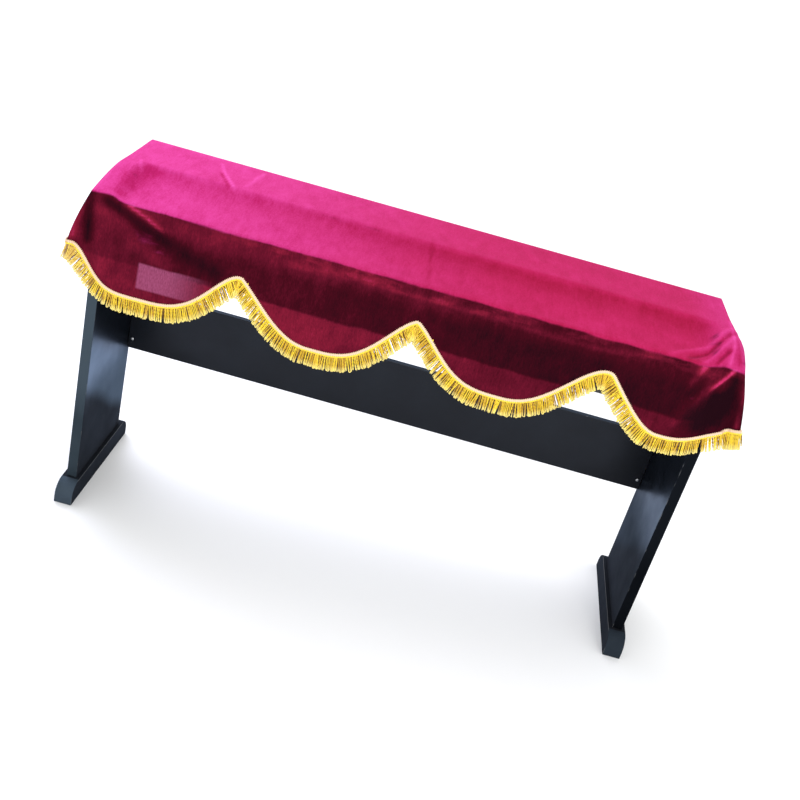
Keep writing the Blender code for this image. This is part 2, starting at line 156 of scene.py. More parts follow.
# ---- Stand ----
# Two side panels on long feet with a board across the back, cut from board under a satin blue-black
# laminate, rubbed through at the corners. The upright edges and the feet's ends carry painted light: a
# painted highlight on the left panel's edges and on the feet, painted shade on the right panel's edges.
# The inner faces carry a painted blue reflection of the pale floor.

EDGE_RUB = 0.0011  # how far from a corner the black is rubbed off
STAND_BLACK = (0.0170, 0.0185, 0.0230, 1.0)
STAND_DUST = (0.030, 0.037, 0.049, 1.0)
OUTER_BLACK = (0.0090, 0.0100, 0.0125, 1.0)
# Painted reflection of the pale floor, laid as colour on the panels' inner faces.
PAINTED_REFLECTION_BLUE = (0.085, 0.118, 0.165, 1.0)
# Painted light on the upright edges and the feet: highlight on the left panel's edges and on both feet,
# shade on the right panel's edges.
EDGE_HIGHLIGHT_LEFT = (0.043, 0.060, 0.075, 1.0)
EDGE_SHADE_RIGHT = (0.0030, 0.0040, 0.0060, 1.0)
FOOT_HIGHLIGHT_LEFT = (0.070, 0.095, 0.122, 1.0)
FOOT_HIGHLIGHT_RIGHT = (0.033, 0.044, 0.058, 1.0)
RUBBED_GREY = (0.34, 0.35, 0.36, 1.0)
LAMINATE_TINT = (0.62, 0.70, 0.84, 1.0)
LAMINATE_METAL = 0.9
LAMINATE_SATIN = (0.28, 0.38)  # roughness of the clearest and of the dullest places
TOE_FROM_Y = -0.137  # in front of this the feet's rounded toes carry the painted highlight
TOE_FADE = 0.008
SIDEWAYS = (0.30, 0.55)  # a face's X direction times its place: near 0.65 on the panels' outer faces
REFLECTION_SLOPE = 0.6  # how much lower the painted reflection lies for each metre towards the back
REFLECTION_WANDER = 0.04
REFLECTION_FOOT = (0.17, 0.22)  # heights, at half depth, over which the painted reflection fades in
REFLECTION_HEAD = (0.37, 0.30)  # and those over which it fades out again
REFLECTION_ON_RIGHT = 0.22  # how much of it the right panel has
SCUFF_FROM = 0.20  # below this height shoes and brooms have dulled the laminate
SCUFF_TO = 0.34
SCUFF_ROUGHNESS = 0.50

# Chips along the front edges of the side panels' inner faces, as (x, y, z).
CHIPS = (
    (0.6405, -0.135, 0.502),
    (0.6405, -0.135, 0.479),
    (0.6405, -0.135, 0.226),
    (-0.6405, -0.135, 0.461),
)
CHIP_SIZE = (0.0022, 0.0022, 0.0075)


def new_group(name, inputs, outputs):
    """A shader group with its sockets: each input is (name, kind, default), each output (name, kind)."""
    group = bpy.data.node_groups.new(name, "ShaderNodeTree")
    for socket, kind, value in inputs:
        made = group.interface.new_socket(socket, in_out="INPUT", socket_type=kind)
        made.default_value = value
    for socket, kind in outputs:
        group.interface.new_socket(socket, in_out="OUTPUT", socket_type=kind)
    return group, group.nodes.new("NodeGroupInput"), group.nodes.new("NodeGroupOutput")


def maths(tree, operation, first, second=0.0, third=None):
    """A Math node on sockets or numbers, and its result."""
    node = tree.nodes.new("ShaderNodeMath")
    node.operation = operation
    given = [first, second] if third is None else [first, second, third]
    for socket, value in zip(node.inputs, given):
        if isinstance(value, bpy.types.NodeSocket):
            tree.links.new(value, socket)
        else:
            socket.default_value = value
    return node.outputs[0]


def added(tree, *values):
    """The sum of several values."""
    total = values[0]
    for value in values[1:]:
        total = maths(tree, "ADD", total, value)
    return total


def times(tree, *values):
    """The product of several values."""
    product = values[0]
    for value in values[1:]:
        product = maths(tree, "MULTIPLY", product, value)
    return product


def ranged(tree, value, low, high, to_low=0.0, to_high=1.0):
    """A value carried from one range to another along a smooth step."""
    node = tree.nodes.new("ShaderNodeMapRange")
    node.interpolation_type = "SMOOTHSTEP"
    tree.links.new(value, node.inputs["Value"])
    node.inputs["From Min"].default_value = low
    node.inputs["From Max"].default_value = high
    node.inputs["To Min"].default_value = to_low
    node.inputs["To Max"].default_value = to_high
    return node.outputs["Result"]


def blended(tree, share, first, second):
    """Two colours mixed by a share, each a socket or a colour."""
    node = tree.nodes.new("ShaderNodeMix")
    node.data_type = "RGBA"
    sockets = (node.inputs["Factor"], node.inputs[6], node.inputs[7])
    for socket, value in zip(sockets, (share, first, second)):
        if isinstance(value, bpy.types.NodeSocket):
            tree.links.new(value, socket)
        else:
            socket.default_value = value
    return node.outputs[2]


def grain(tree, place, scale, stretch=(1.0, 1.0, 1.0), detail=3.0):
    """Noise over a place, finer or coarser along each axis."""
    spread = tree.nodes.new("ShaderNodeMapping")
    spread.inputs["Scale"].default_value = stretch
    tree.links.new(place, spread.inputs["Vector"])
    node = tree.nodes.new("ShaderNodeTexNoise")
    node.inputs["Scale"].default_value = scale
    node.inputs["Detail"].default_value = detail
    tree.links.new(spread.outputs["Vector"], node.inputs["Vector"])
    return node.outputs["Fac"]


def split_axes(tree, vector):
    """The X, Y and Z of a vector."""
    node = tree.nodes.new("ShaderNodeSeparateXYZ")
    tree.links.new(vector, node.inputs[0])
    return node.outputs


def bumped(tree, shader, height, distance, strength=1.0):
    """A Bump node between a height and the shader's normal."""
    node = tree.nodes.new("ShaderNodeBump")
    node.inputs["Distance"].default_value = distance
    node.inputs["Strength"].default_value = strength
    tree.links.new(height, node.inputs["Height"])
    tree.links.new(node.outputs["Normal"], shader.inputs["Normal"])


def swing(tree, value, reach):
    """A 0 to 1 value turned into one that swings evenly to either side of nothing."""
    return times(tree, maths(tree, "SUBTRACT", value, 0.5), reach)


def object_place(tree):
    """Where a point lies on the object, in metres from the origin."""
    return tree.nodes.new("ShaderNodeTexCoord").outputs["Object"]


def surface_normal(tree):
    """Which way the surface faces."""
    return tree.nodes.new("ShaderNodeNewGeometry").outputs["Normal"]


def wear_group():
    """Rubbed corners of a squared piece: the mask is 1 where two of its faces meet."""
    inputs = (
        ("Low", "NodeSocketVector", (0, 0, 0)),
        ("High", "NodeSocketVector", (1, 1, 1)),
        ("Width", "NodeSocketFloat", EDGE_RUB),
        ("Patchiness", "NodeSocketFloat", 0.5),
    )
    group, given, result = new_group("rubbed_edges", inputs, (("Mask", "NodeSocketFloat"),))
    place = object_place(group)
    here = split_axes(group, place)
    low = split_axes(group, given.outputs["Low"])
    high = split_axes(group, given.outputs["High"])
    depth = []
    for axis in range(3):
        from_low = maths(group, "SUBTRACT", here[axis], low[axis])
        from_high = maths(group, "SUBTRACT", high[axis], here[axis])
        depth.append(maths(group, "MINIMUM", from_low, from_high))
    least = maths(group, "MINIMUM", depth[0], depth[1])
    most = maths(group, "MAXIMUM", depth[0], depth[1])
    middle = maths(group, "MAXIMUM", least, maths(group, "MINIMUM", most, depth[2]))
    nearness = maths(group, "SUBTRACT", 1.0, maths(group, "DIVIDE", middle, given.outputs["Width"]))
    patches = added(group, grain(group, place, 38.0, detail=4.0), given.outputs["Patchiness"])
    chips = ranged(group, patches, 1.10, 1.22)
    worn = times(group, maths(group, "MAXIMUM", nearness, 0.0), chips)
    group.links.new(maths(group, "MINIMUM", worn, 1.0), result.inputs["Mask"])
    return group


def dust_group():
    """A thin, uneven film: the mask is cloudy and gathers on what faces up."""
    inputs = (("Cloud Scale", "NodeSocketFloat", 7.0), ("Amount", "NodeSocketFloat", 0.5))
    group, given, result = new_group("dust_film", inputs, (("Mask", "NodeSocketFloat"),))
    cloud = group.nodes.new("ShaderNodeTexNoise")
    cloud.inputs["Detail"].default_value = 6.0
    group.links.new(object_place(group), cloud.inputs["Vector"])
    group.links.new(given.outputs["Cloud Scale"], cloud.inputs["Scale"])
    upward = ranged(group, split_axes(group, surface_normal(group))["Z"], 0.2, 1.0, 0.25, 1.0)
    film = times(group, ranged(group, cloud.outputs["Fac"], 0.35, 0.75), upward, given.outputs["Amount"])
    group.links.new(film, result.inputs["Mask"])
    return group


rubbed_edges = wear_group()
dust_film = dust_group()


def use_group(tree, group, **values):
    """Places a shared group in a material, with this piece's own values."""
    node = tree.nodes.new("ShaderNodeGroup")
    node.node_tree = group
    for socket, value in values.items():
        node.inputs[socket.replace("_", " ")].default_value = value
    return node.outputs["Mask"]


def chip_mask(tree, place):
    """1 inside each small chip of an edge."""
    mask = 0.0
    for chip in CHIPS:
        offset = tree.nodes.new("ShaderNodeVectorMath")
        offset.operation = "SUBTRACT"
        tree.links.new(place, offset.inputs[0])
        offset.inputs[1].default_value = chip
        shape = tree.nodes.new("ShaderNodeVectorMath")
        shape.operation = "DIVIDE"
        tree.links.new(offset.outputs["Vector"], shape.inputs[0])
        shape.inputs[1].default_value = CHIP_SIZE
        away = tree.nodes.new("ShaderNodeVectorMath")
        away.operation = "LENGTH"
        tree.links.new(shape.outputs["Vector"], away.inputs[0])
        mask = maths(tree, "MAXIMUM", ranged(tree, away.outputs["Value"], 0.7, 1.0, 1.0, 0.0), mask)
    return mask


def panel_colour(tree, place, colour, painted_edge_light):
    """Outer faces deeper black, inner faces with a painted blue reflection, and front and back edges and
    the toes' tops in painted edge light.
    """
    faced, here = split_axes(tree, surface_normal(tree)), split_axes(tree, place)
    outward = times(tree, faced["X"], here["X"])
    inward = times(tree, outward, -1.0)
    colour = blended(tree, ranged(tree, outward, *SIDEWAYS), colour, OUTER_BLACK)
    # Painted reflection: a blue band across the inner faces, lower towards the back.
    sloping = added(tree, here["Z"], times(tree, here["Y"], REFLECTION_SLOPE))
    reflection_height = added(tree, sloping, swing(tree, grain(tree, place, 6.0), REFLECTION_WANDER))
    painted_reflection = times(
        tree,
        ranged(tree, reflection_height, *REFLECTION_FOOT),
        ranged(tree, reflection_height, *REFLECTION_HEAD),
        ranged(tree, inward, *SIDEWAYS),
        ranged(tree, here["X"], 0.1, -0.1, REFLECTION_ON_RIGHT, 1.0),
    )
    colour = blended(tree, painted_reflection, colour, PAINTED_REFLECTION_BLUE)
    # Painted light: faces turned to the front or back, and the toes' tops, take the given edge colour.
    rounded = times(tree, faced["Z"], ranged(tree, here["Y"], TOE_FROM_Y, TOE_FROM_Y - TOE_FADE))
    facing = maths(tree, "MAXIMUM", maths(tree, "ABSOLUTE", faced["Y"]), rounded)
    return blended(tree, ranged(tree, facing, 0.25, 0.60), colour, painted_edge_light)


def laminate(node, patchiness, painted_edge_light):
    """Satin laminate for one squared node, with painted light on its front and back edges and a painted
    reflection inside, if asked.
    """
    low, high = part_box(node)
    made, tree, shader = new_material(node + "_laminate")
    place = object_place(tree)
    dusty = use_group(tree, dust_film, Cloud_Scale=9.0, Amount=0.6)
    colour = blended(tree, dusty, STAND_BLACK, STAND_DUST)
    worn = use_group(tree, rubbed_edges, Low=low, High=high, Width=EDGE_RUB, Patchiness=patchiness)
    if painted_edge_light:
        colour = panel_colour(tree, place, colour, painted_edge_light)
        worn = maths(tree, "MAXIMUM", worn, chip_mask(tree, place))
    tree.links.new(blended(tree, worn, colour, RUBBED_GREY), shader.inputs["Base Color"])
    hazy = ranged(tree, grain(tree, place, 14.0, detail=5.0), 0.3, 0.7, *LAMINATE_SATIN)
    scuffed = ranged(tree, split_axes(tree, place)["Z"], SCUFF_FROM, SCUFF_TO, SCUFF_ROUGHNESS, 0.0)
    tree.links.new(added(tree, hazy, scuffed, times(tree, worn, 0.3)), shader.inputs["Roughness"])
    shader.inputs["Metallic"].default_value = LAMINATE_METAL
    shader.inputs["Specular Tint"].default_value = LAMINATE_TINT
    bumped(tree, shader, grain(tree, place, 420.0, (1.0, 1.0, 0.35)), 0.00004, 0.12)
    return made


# The last column is painted light: a highlight on the left panel's edges and the feet, shade on the right
# panel's edges.
for name, patchiness, painted_edge_light in (
    ("side_panel_left", 0.50, EDGE_HIGHLIGHT_LEFT),
    ("side_panel_right", 0.60, EDGE_SHADE_RIGHT),
    ("foot_left", 0.85, FOOT_HIGHLIGHT_LEFT),
    ("foot_right", 0.90, FOOT_HIGHLIGHT_RIGHT),
    ("back_board", 0.46, None),
):
    dress(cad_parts[name], laminate(name, patchiness, painted_edge_light))


# ---- Board screws ----
# One steel screw at each end holds the back board. Its low domed head has a cross recess
# that a screwdriver has scuffed, and the plating has dulled to grey.

RECESS_LENGTH = 0.0046
RECESS_WIDTH = 0.0011
RECESS_DEPTH = 0.0012
STEEL_DARK = (0.30, 0.31, 0.33, 1.0)
STEEL_LIGHT = (0.52, 0.53, 0.55, 1.0)
SHARP_FROM = math.radians(40)  # edges bent more than this stay sharp


def steel():
    """Plated steel, dulled unevenly and finely scratched."""
    made, tree, shader = new_material("dulled_steel")
    place = object_place(tree)
    tint = blended(tree, grain(tree, place, 900.0), STEEL_DARK, STEEL_LIGHT)
    tree.links.new(tint, shader.inputs["Base Color"])
    dulled = ranged(tree, grain(tree, place, 500.0), 0.3, 0.7, 0.30, 0.5)
    tree.links.new(dulled, shader.inputs["Roughness"])
    shader.inputs["Metallic"].default_value = 1.0
    bumped(tree, shader, grain(tree, place, 1600.0, (1.0, 1.0, 0.2)), 0.00006)
    return made


steel_finish = steel()

for name in ("board_screw_left", "board_screw_right"):
    low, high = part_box(name)
    middle = (low + high) / 2
    pick_nothing()
    bpy.ops.mesh.primitive_uv_sphere_add(segments=32, ring_count=16, radius=(high.x - low.x) / 2)
    head = bpy.context.object
    head.rotation_euler.x = math.pi / 2
    head.scale = (1.0, 1.0, (high.y - low.y) / head.dimensions.z * 2)
    head.location = (middle.x, high.y, middle.z)
    fix_place(head)
    bpy.ops.object.mode_set(mode="EDIT")
    bpy.ops.mesh.select_all(action="SELECT")
    seat = (middle.x, high.y, middle.z)
    bpy.ops.mesh.bisect(plane_co=seat, plane_no=(0, 1, 0), clear_outer=True, use_fill=True)
    bpy.ops.object.mode_set(mode="OBJECT")
    slots = []
    for long_x, long_z in ((RECESS_LENGTH, RECESS_WIDTH), (RECESS_WIDTH, RECESS_LENGTH)):
        pick_nothing()
        bpy.ops.mesh.primitive_cube_add(size=1.0, location=(middle.x, low.y, middle.z))
        slot = bpy.context.object
        slot.scale = (long_x, 2 * RECESS_DEPTH, long_z)
        fix_place(slot)
        cut = head.modifiers.new("recess", "BOOLEAN")
        cut.operation = "DIFFERENCE"
        cut.object = slot
        slots.append(slot)
    take(head)
    for _ in slots:
        bpy.ops.object.modifier_apply(modifier=head.modifiers[0].name)
    for slot in slots:
        bpy.data.objects.remove(slot, do_unlink=True)
    take(head)
    bpy.ops.object.shade_smooth_by_angle(angle=SHARP_FROM)
    head.name = name.replace("board_screw", "screw_head")
    dress(head, steel_finish)
    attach(head, "root")
    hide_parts(name)


# ---- Piano case ----
# The instrument's own shell, moulded in matt black plastic with a fine leather-like grain. Only its
# underside and lower edges show below the cover.

CASE_BLACK = (0.014, 0.014, 0.015, 1.0)
CASE_DUST = (0.040, 0.040, 0.042, 1.0)


def moulded_black():
    """Matt moulded plastic, dusty on top, with a leather-like pattern of pores."""
    made, tree, shader = new_material("moulded_black")
    place = object_place(tree)
    dusty = use_group(tree, dust_film, Cloud_Scale=5.0, Amount=0.4)
    tree.links.new(blended(tree, dusty, CASE_BLACK, CASE_DUST), shader.inputs["Base Color"])
    matt = ranged(tree, grain(tree, place, 30.0), 0.3, 0.7, 0.48, 0.6)
    tree.links.new(matt, shader.inputs["Roughness"])
    pores = tree.nodes.new("ShaderNodeTexVoronoi")
    pores.inputs["Scale"].default_value = 900.0
    tree.links.new(place, pores.inputs["Vector"])
    bumped(tree, shader, pores.outputs["Distance"], 0.0002, 0.6)
    return made


dress(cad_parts["piano_case"], moulded_black())


# ---- Cover ----
# One sheet of thin cotton-backed velvet, laid over the case and left to hang: it sinks between the
# two end blocks, turns down in front to a scalloped hem, and hangs short and straight behind.

CLOTH_THICK = 0.0011
SHEET_OFF = 0.004  # how far off the case the sheet's outer face hangs
CASE_LOW, CASE_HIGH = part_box("piano_case")
HALF_WIDTH = CASE_HIGH.x + SHEET_OFF
FRONT_Y = CASE_LOW.y - SHEET_OFF
BACK_Y = CASE_HIGH.y + SHEET_OFF
EDGE_TURN = 0.003  # radius with which the sheet turns down over the edges
EDGE_FALL = 0.004  # how far below the top the drops have turned upright
END_STAND_OFF = (0.007, 0.0105)  # how far the left and right ends stand off at their front corner
STAND_OFF_FROM = 0.090  # behind this place they lie close
BACK_HEM_Z = 0.645
HEM_TURN = 0.010  # the back hem is folded double over this height,
HEM_LAP = 0.0008  # and stands out by this much there
SIDE_HEM_SAG = 0.016
BACK_OUT = 0.006  # how far the back hem stands off the case
SIDE_CRUSH = (0.06, 0.16)  # how far the pile of the two side drops lightens, left and right
CREASE_Y = 0.006  # where the sheet leaves the raised back of the case
CREASE_DRIFT = 0.0035  # how far that line wanders
SWELL_UP = 0.0012  # height of the long swells over the sunk middle,
SWELL_LONG = 0.310  # their length,
RIPPLE_UP = 0.0009  # and the height of the small ripples on them
BACK_WAVE = 0.0012  # depth of the waves in each drop
SIDE_WAVE = 0.0016
FRONT_WAVE = 0.0016
PLAIN_CRUSH = 0.25  # how far the pile varies on the back and side drops
NEAR = 0.000001

# Height of the sheet from front to back: over the left end block, its sunk middle and the right one.
Profile = namedtuple("Profile", "y left_end middle right_end")
PROFILE = (
    Profile(FRONT_Y + EDGE_TURN, 0.7535, 0.7445, 0.7525),
    Profile(-0.152, 0.7560, 0.7462, 0.7575),
    Profile(-0.142, 0.7582, 0.7472, 0.7630),
    Profile(-0.121, 0.7632, 0.7492, 0.7710),
    Profile(-0.096, 0.7688, 0.7522, 0.7785),
    Profile(-0.066, 0.7748, 0.7570, 0.7812),
    Profile(-0.037, 0.7795, 0.7632, 0.7817),
    Profile(-0.020, 0.7811, 0.7690, 0.7817),
    Profile(-0.008, 0.7813, 0.7756, 0.7817),
    Profile(-0.001, 0.7814, 0.7802, 0.7817),
    Profile(0.006, 0.7814, 0.7813, 0.7817),
    Profile(0.018, 0.7815, 0.7815, 0.7817),
    Profile(0.060, 0.7815, 0.7814, 0.7817),
    Profile(0.110, 0.7816, 0.7816, 0.7817),
    Profile(0.154, 0.7818, 0.7818, 0.7818),
    Profile(BACK_Y - EDGE_TURN, 0.7812, 0.7812, 0.7812),
)
# Between these two places along X the sheet climbs from its sunk middle onto the end blocks.
END_SLOPE_IN = 0.600
END_SLOPE_OUT = 0.634

# The front hem's peaks and the low points between them. To either side of a low point, lateness says
# how long the hem stays low before it climbs, and tip how pointed it meets the peak.
Peak = namedtuple("Peak", "x z")
PEAKS = (
    Peak(-0.704, 0.639),
    Peak(-0.341, 0.658),
    Peak(0.023, 0.6715),
    Peak(0.430, 0.675),
    Peak(0.709, 0.629),
)
Low = namedtuple("Low", "x z left_lateness left_tip right_lateness right_tip")
LOWS = (
    Low(-0.547, 0.553, 2.15, 0.0, 1.87, -0.4),
    Low(-0.180, 0.5485, 1.17, 1.15, 1.75, 0.3),
    Low(0.220, 0.559, 1.65, 0.65, 1.37, -0.6),
    Low(0.5505, 0.5755, 0.90, 1.45, 1.52, 0.8),
)
HEM_OUT = 0.007  # how far the front hem stands off the case
BELLY_OUT = 0.004  # and how much further each swag's low point does
BULGE = 0.003  # how far every drop rounds outwards at half its height

# A corner's leg is one of its two edges, read from the corner: spread shifts the hem along the leg
# towards the corner, and out pushes it off the case.
Fold = namedtuple("Fold", "from_corner spread out")
FRONT_LEG_LEFT = (
    Fold(0.000, 0.040, 0.015),
    Fold(0.006, 0.038, 0.005),
    Fold(0.014, 0.032, 0.000),
    Fold(0.026, 0.027, 0.000),
    Fold(0.042, 0.022, 0.004),
    Fold(0.065, 0.016, 0.010),
    Fold(0.095, 0.009, 0.011),
    Fold(0.135, 0.003, 0.009),
    Fold(0.180, 0.000, HEM_OUT),
)
FRONT_LEG_RIGHT = (
    Fold(0.000, 0.045, 0.017),
    Fold(0.006, 0.040, 0.008),
    Fold(0.014, 0.041, 0.000),
    Fold(0.026, 0.036, 0.000),
    Fold(0.042, 0.031, 0.000),
    Fold(0.065, 0.026, 0.006),
    Fold(0.095, 0.019, 0.012),
    Fold(0.135, 0.010, 0.010),
    Fold(0.180, 0.003, HEM_OUT),
)
SIDE_LEG = (
    Fold(0.000, 0.016, 0.042),
    Fold(0.006, 0.009, 0.043),
    Fold(0.016, 0.005, 0.034),
    Fold(0.037, 0.002, 0.025),
    Fold(0.062, 0.000, 0.019),
    Fold(0.100, 0.000, 0.015),
    Fold(0.170, 0.000, 0.013),
)
BACK_CORNER_LEG = (
    Fold(0.000, 0.020, 0.012),
    Fold(0.009, 0.014, 0.010),
    Fold(0.050, 0.003, 0.008),
    Fold(0.110, 0.000, BACK_OUT),
)
SIDE_BACK_LEG = (
    Fold(0.000, 0.012, 0.020),
    Fold(0.009, 0.006, 0.018),
    Fold(0.050, 0.001, 0.014),
    Fold(0.110, 0.000, 0.013),
)

# Folds in the front drop, as (x, z) from start to end: out pushes a ridge forward or draws a trough in,
# and the last field is the painted highlight (+) or painted shade (-) laid along it.
Drag = namedtuple("Drag", "start end half_width out crush")
DRAGS = (
    Drag((-0.694, 0.735), (-0.696, 0.645), 0.009, 0.0030, 0.36),
    Drag((-0.671, 0.752), (-0.668, 0.640), 0.010, -0.0060, -0.40),
    Drag((-0.646, 0.744), (-0.572, 0.712), 0.012, -0.0060, -0.42),
    Drag((-0.572, 0.712), (-0.500, 0.686), 0.016, -0.0050, -0.38),
    Drag((-0.500, 0.686), (-0.385, 0.648), 0.018, -0.0030, -0.26),
    Drag((-0.598, 0.744), (-0.556, 0.727), 0.005, 0.0040, 0.44),
    Drag((-0.556, 0.727), (-0.514, 0.708), 0.006, 0.0040, 0.42),
    Drag((-0.585, 0.672), (-0.480, 0.640), 0.020, 0.0040, 0.12),
    Drag((-0.640, 0.640), (-0.633, 0.585), 0.010, 0.0030, 0.09),
    Drag((0.655, 0.752), (0.624, 0.700), 0.005, 0.0060, 0.62),
    Drag((0.624, 0.700), (0.590, 0.655), 0.011, 0.0050, 0.24),
    Drag((0.590, 0.655), (0.572, 0.600), 0.013, 0.0040, 0.14),
    Drag((0.668, 0.742), (0.652, 0.650), 0.013, -0.0040, -0.40),
    Drag((0.652, 0.690), (0.625, 0.600), 0.026, -0.0020, -0.24),
    Drag((0.686, 0.746), (0.699, 0.630), 0.0055, 0.0020, 0.44),
    Drag((0.602, 0.752), (0.592, 0.728), 0.008, 0.0020, 0.46),
    Drag((0.592, 0.728), (0.578, 0.690), 0.008, 0.0030, 0.16),
    Drag((-0.265, 0.713), (-0.120, 0.722), 0.007, 0.0012, 0.13),
    Drag((-0.110, 0.722), (0.100, 0.722), 0.006, 0.0012, 0.16),
    Drag((0.100, 0.723), (0.290, 0.718), 0.006, 0.0014, 0.14),
    Drag((0.290, 0.718), (0.400, 0.719), 0.007, 0.0014, 0.12),
    Drag((0.400, 0.720), (0.530, 0.740), 0.006, 0.0016, 0.15),
)
DRAG_FADE = 0.022  # over this length a drag fades in and out at its ends

# Creases over the top, as (x, y) from start to end: up raises a ridge or sinks a trough, and the last
# field is the painted highlight (+) or painted shade (-) laid along it.
Crease = namedtuple("Crease", "start end half_width up crush")
CREASES = (
    Crease((0.520, -0.158), (0.612, -0.085), 0.007, 0.0032, 0.20),
    Crease((0.612, -0.085), (0.657, -0.020), 0.007, 0.0030, 0.20),
    Crease((0.560, -0.154), (0.627, -0.088), 0.005, -0.0026, -0.28),
    Crease((0.627, -0.088), (0.657, -0.040), 0.005, -0.0022, -0.24),
    Crease((0.592, -0.155), (0.640, -0.098), 0.005, 0.0034, 0.26),
    Crease((0.640, -0.098), (0.657, -0.062), 0.005, 0.0026, 0.20),
    Crease((0.616, -0.156), (0.647, -0.112), 0.0045, -0.0030, -0.34),
    Crease((0.560, -0.150), (0.645, -0.115), 0.026, 0.0, -0.09),
    Crease((0.659, 0.020), (0.652, -0.100), 0.0040, 0.0006, 0.24),
    Crease((0.652, -0.100), (0.641, -0.157), 0.0040, 0.0008, 0.30),
    Crease((0.672, 0.010), (0.664, -0.150), 0.0080, 0.0, -0.22),
    # These two carry only painted shade, on the slope down from the left end block.
    Crease((-0.606, 0.000), (-0.614, -0.080), 0.0240, 0.0, -0.15),
    Crease((-0.614, -0.080), (-0.622, -0.150), 0.0200, 0.0, -0.15),
    Crease((-0.489, 0.128), (-0.464, 0.066), 0.0035, 0.0014, 0.26),
    Crease((-0.464, 0.066), (-0.426, -0.004), 0.0040, 0.0016, 0.36),
    Crease((-0.474, 0.070), (-0.437, -0.004), 0.0040, -0.0008, -0.26),
    Crease((-0.395, 0.142), (-0.406, 0.020), 0.0040, 0.0010, 0.26),
    Crease((-0.631, 0.008), (-0.618, -0.033), 0.0040, 0.0010, 0.16),
    Crease((0.008, 0.000), (0.022, -0.150), 0.0030, -0.0009, -0.16),
    Crease((0.200, 0.150), (0.235, 0.060), 0.0100, 0.0008, 0.05),
    Crease((-0.110, 0.150), (-0.080, 0.070), 0.0090, 0.0008, 0.04),
)
CREASE_FADE = 0.016


def ease(share):
    """A share from 0 to 1 that starts and ends softly."""
    share = min(1.0, max(0.0, share))
    return share * share * (3 - 2 * share)


def read_table(rows, key, value, at):
    """A column of a table at one place, on a smooth line through its rows."""
    places = [getattr(row, key) for row in rows]
    levels = [getattr(row, value) for row in rows]
    at = min(max(at, places[0]), places[-1])
    i = 0
    while i < len(rows) - 2 and at > places[i + 1]:
        i += 1
    span = places[i + 1] - places[i]
    share = (at - places[i]) / span
    slopes = []
    for k in (i, i + 1):
        before, after = max(k - 1, 0), min(k + 1, len(rows) - 1)
        slopes.append((levels[after] - levels[before]) / (places[after] - places[before]) * span)
    s2, s3 = share * share, share**3
    rest = levels[i] * (2 * s3 - 3 * s2 + 1) + levels[i + 1] * (3 * s2 - 2 * s3)
    return rest + slopes[0] * (s3 - 2 * s2 + share) + slopes[1] * (s3 - s2)


def wander(x, y, z, size):
    """Smooth noise from -1 to 1 whose lumps are about size long."""
    return noise.noise(Vector((x, y, z)) / size)


def rise(share, lateness, tip):
    """Climb of a hem from its low point (0) to a peak (1)."""
    s = share**lateness
    return s * s * (3 - 2 * s) + tip * (s**3 - s**2)


def swag_share(x):
    """0 at a swag's low point, 1 at a peak, with the swag's low and peak heights there."""
    x = min(max(x, PEAKS[0].x), PEAKS[-1].x)
    for left, low, right in zip(PEAKS, LOWS, PEAKS[1:]):
        if x <= right.x:
            if x < low.x:
                share = (low.x - x) / (low.x - left.x)
                return rise(share, low.left_lateness, low.left_tip), low.z, left.z
            share = (x - low.x) / (right.x - low.x)
            return rise(share, low.right_lateness, low.right_tip), low.z, right.z
    return 1.0, LOWS[-1].z, PEAKS[-1].z


def front_hem_z(x):
    """Height of the scalloped front hem."""
    share, low_z, peak_z = swag_share(x)
    return low_z + (peak_z - low_z) * share


def side_hem_z(y, side):
    """Height of a side hem, sagging a little between its front and back corner."""
    corner = PEAKS[0].z if side < 0 else PEAKS[-1].z
    share = min(1.0, max(0.0, (y - FRONT_Y) / (BACK_Y - FRONT_Y)))
    sag = SIDE_HEM_SAG * 4 * share * (1 - share)
    return corner + (BACK_HEM_Z - corner) * share - sag


def line_weight(place, start, end, half_width, fade):
    """How strongly a fold between two points acts at a place: 1 on its line, 0 away from it."""
    run = Vector((end[0] - start[0], end[1] - start[1]))
    offset = Vector((place[0] - start[0], place[1] - start[1]))
    along = offset.dot(run) / run.length
    across = abs(run.x * offset.y - run.y * offset.x) / run.length
    if across > 3.2 * half_width:
        return 0.0
    ends = ease(along / fade + 0.5) * ease((run.length - along) / fade + 0.5)
    return ends * math.exp(-((across / half_width) ** 2))


def top_point(x, y):
    """Height of the sheet over the case, and the painted highlight and shade of its creases there."""
    at_end = read_table(PROFILE, "y", "left_end" if x < 0 else "right_end", y)
    near_crease = ease((CREASE_Y - y) / 0.02 + 1.0) * ease((y + 0.15) / 0.05)
    shift = CREASE_DRIFT * wander(x, 0.62, 0.0, 0.20) * near_crease
    at_middle = read_table(PROFILE, "y", "middle", y + shift)
    over_end = ease((abs(x) - END_SLOPE_IN) / (END_SLOPE_OUT - END_SLOPE_IN))
    inside = ease((y - FRONT_Y) / 0.03)
    sunk = ease((CREASE_Y - y) / 0.05) * inside * (1 - over_end)
    swell = SWELL_UP * math.sin(2 * math.pi * x / SWELL_LONG + 9.0 * y)
    ripple = RIPPLE_UP * noise.noise(Vector((x * 16.0, y * 22.0, 1.7)))
    z = at_middle * (1 - over_end) + at_end * over_end + (swell + ripple) * sunk
    crush = 0.0
    for crease in CREASES:
        weight = line_weight((x, y), crease.start, crease.end, crease.half_width, CREASE_FADE)
        z += crease.up * weight * inside
        crush += crease.crush * weight
    return z, crush


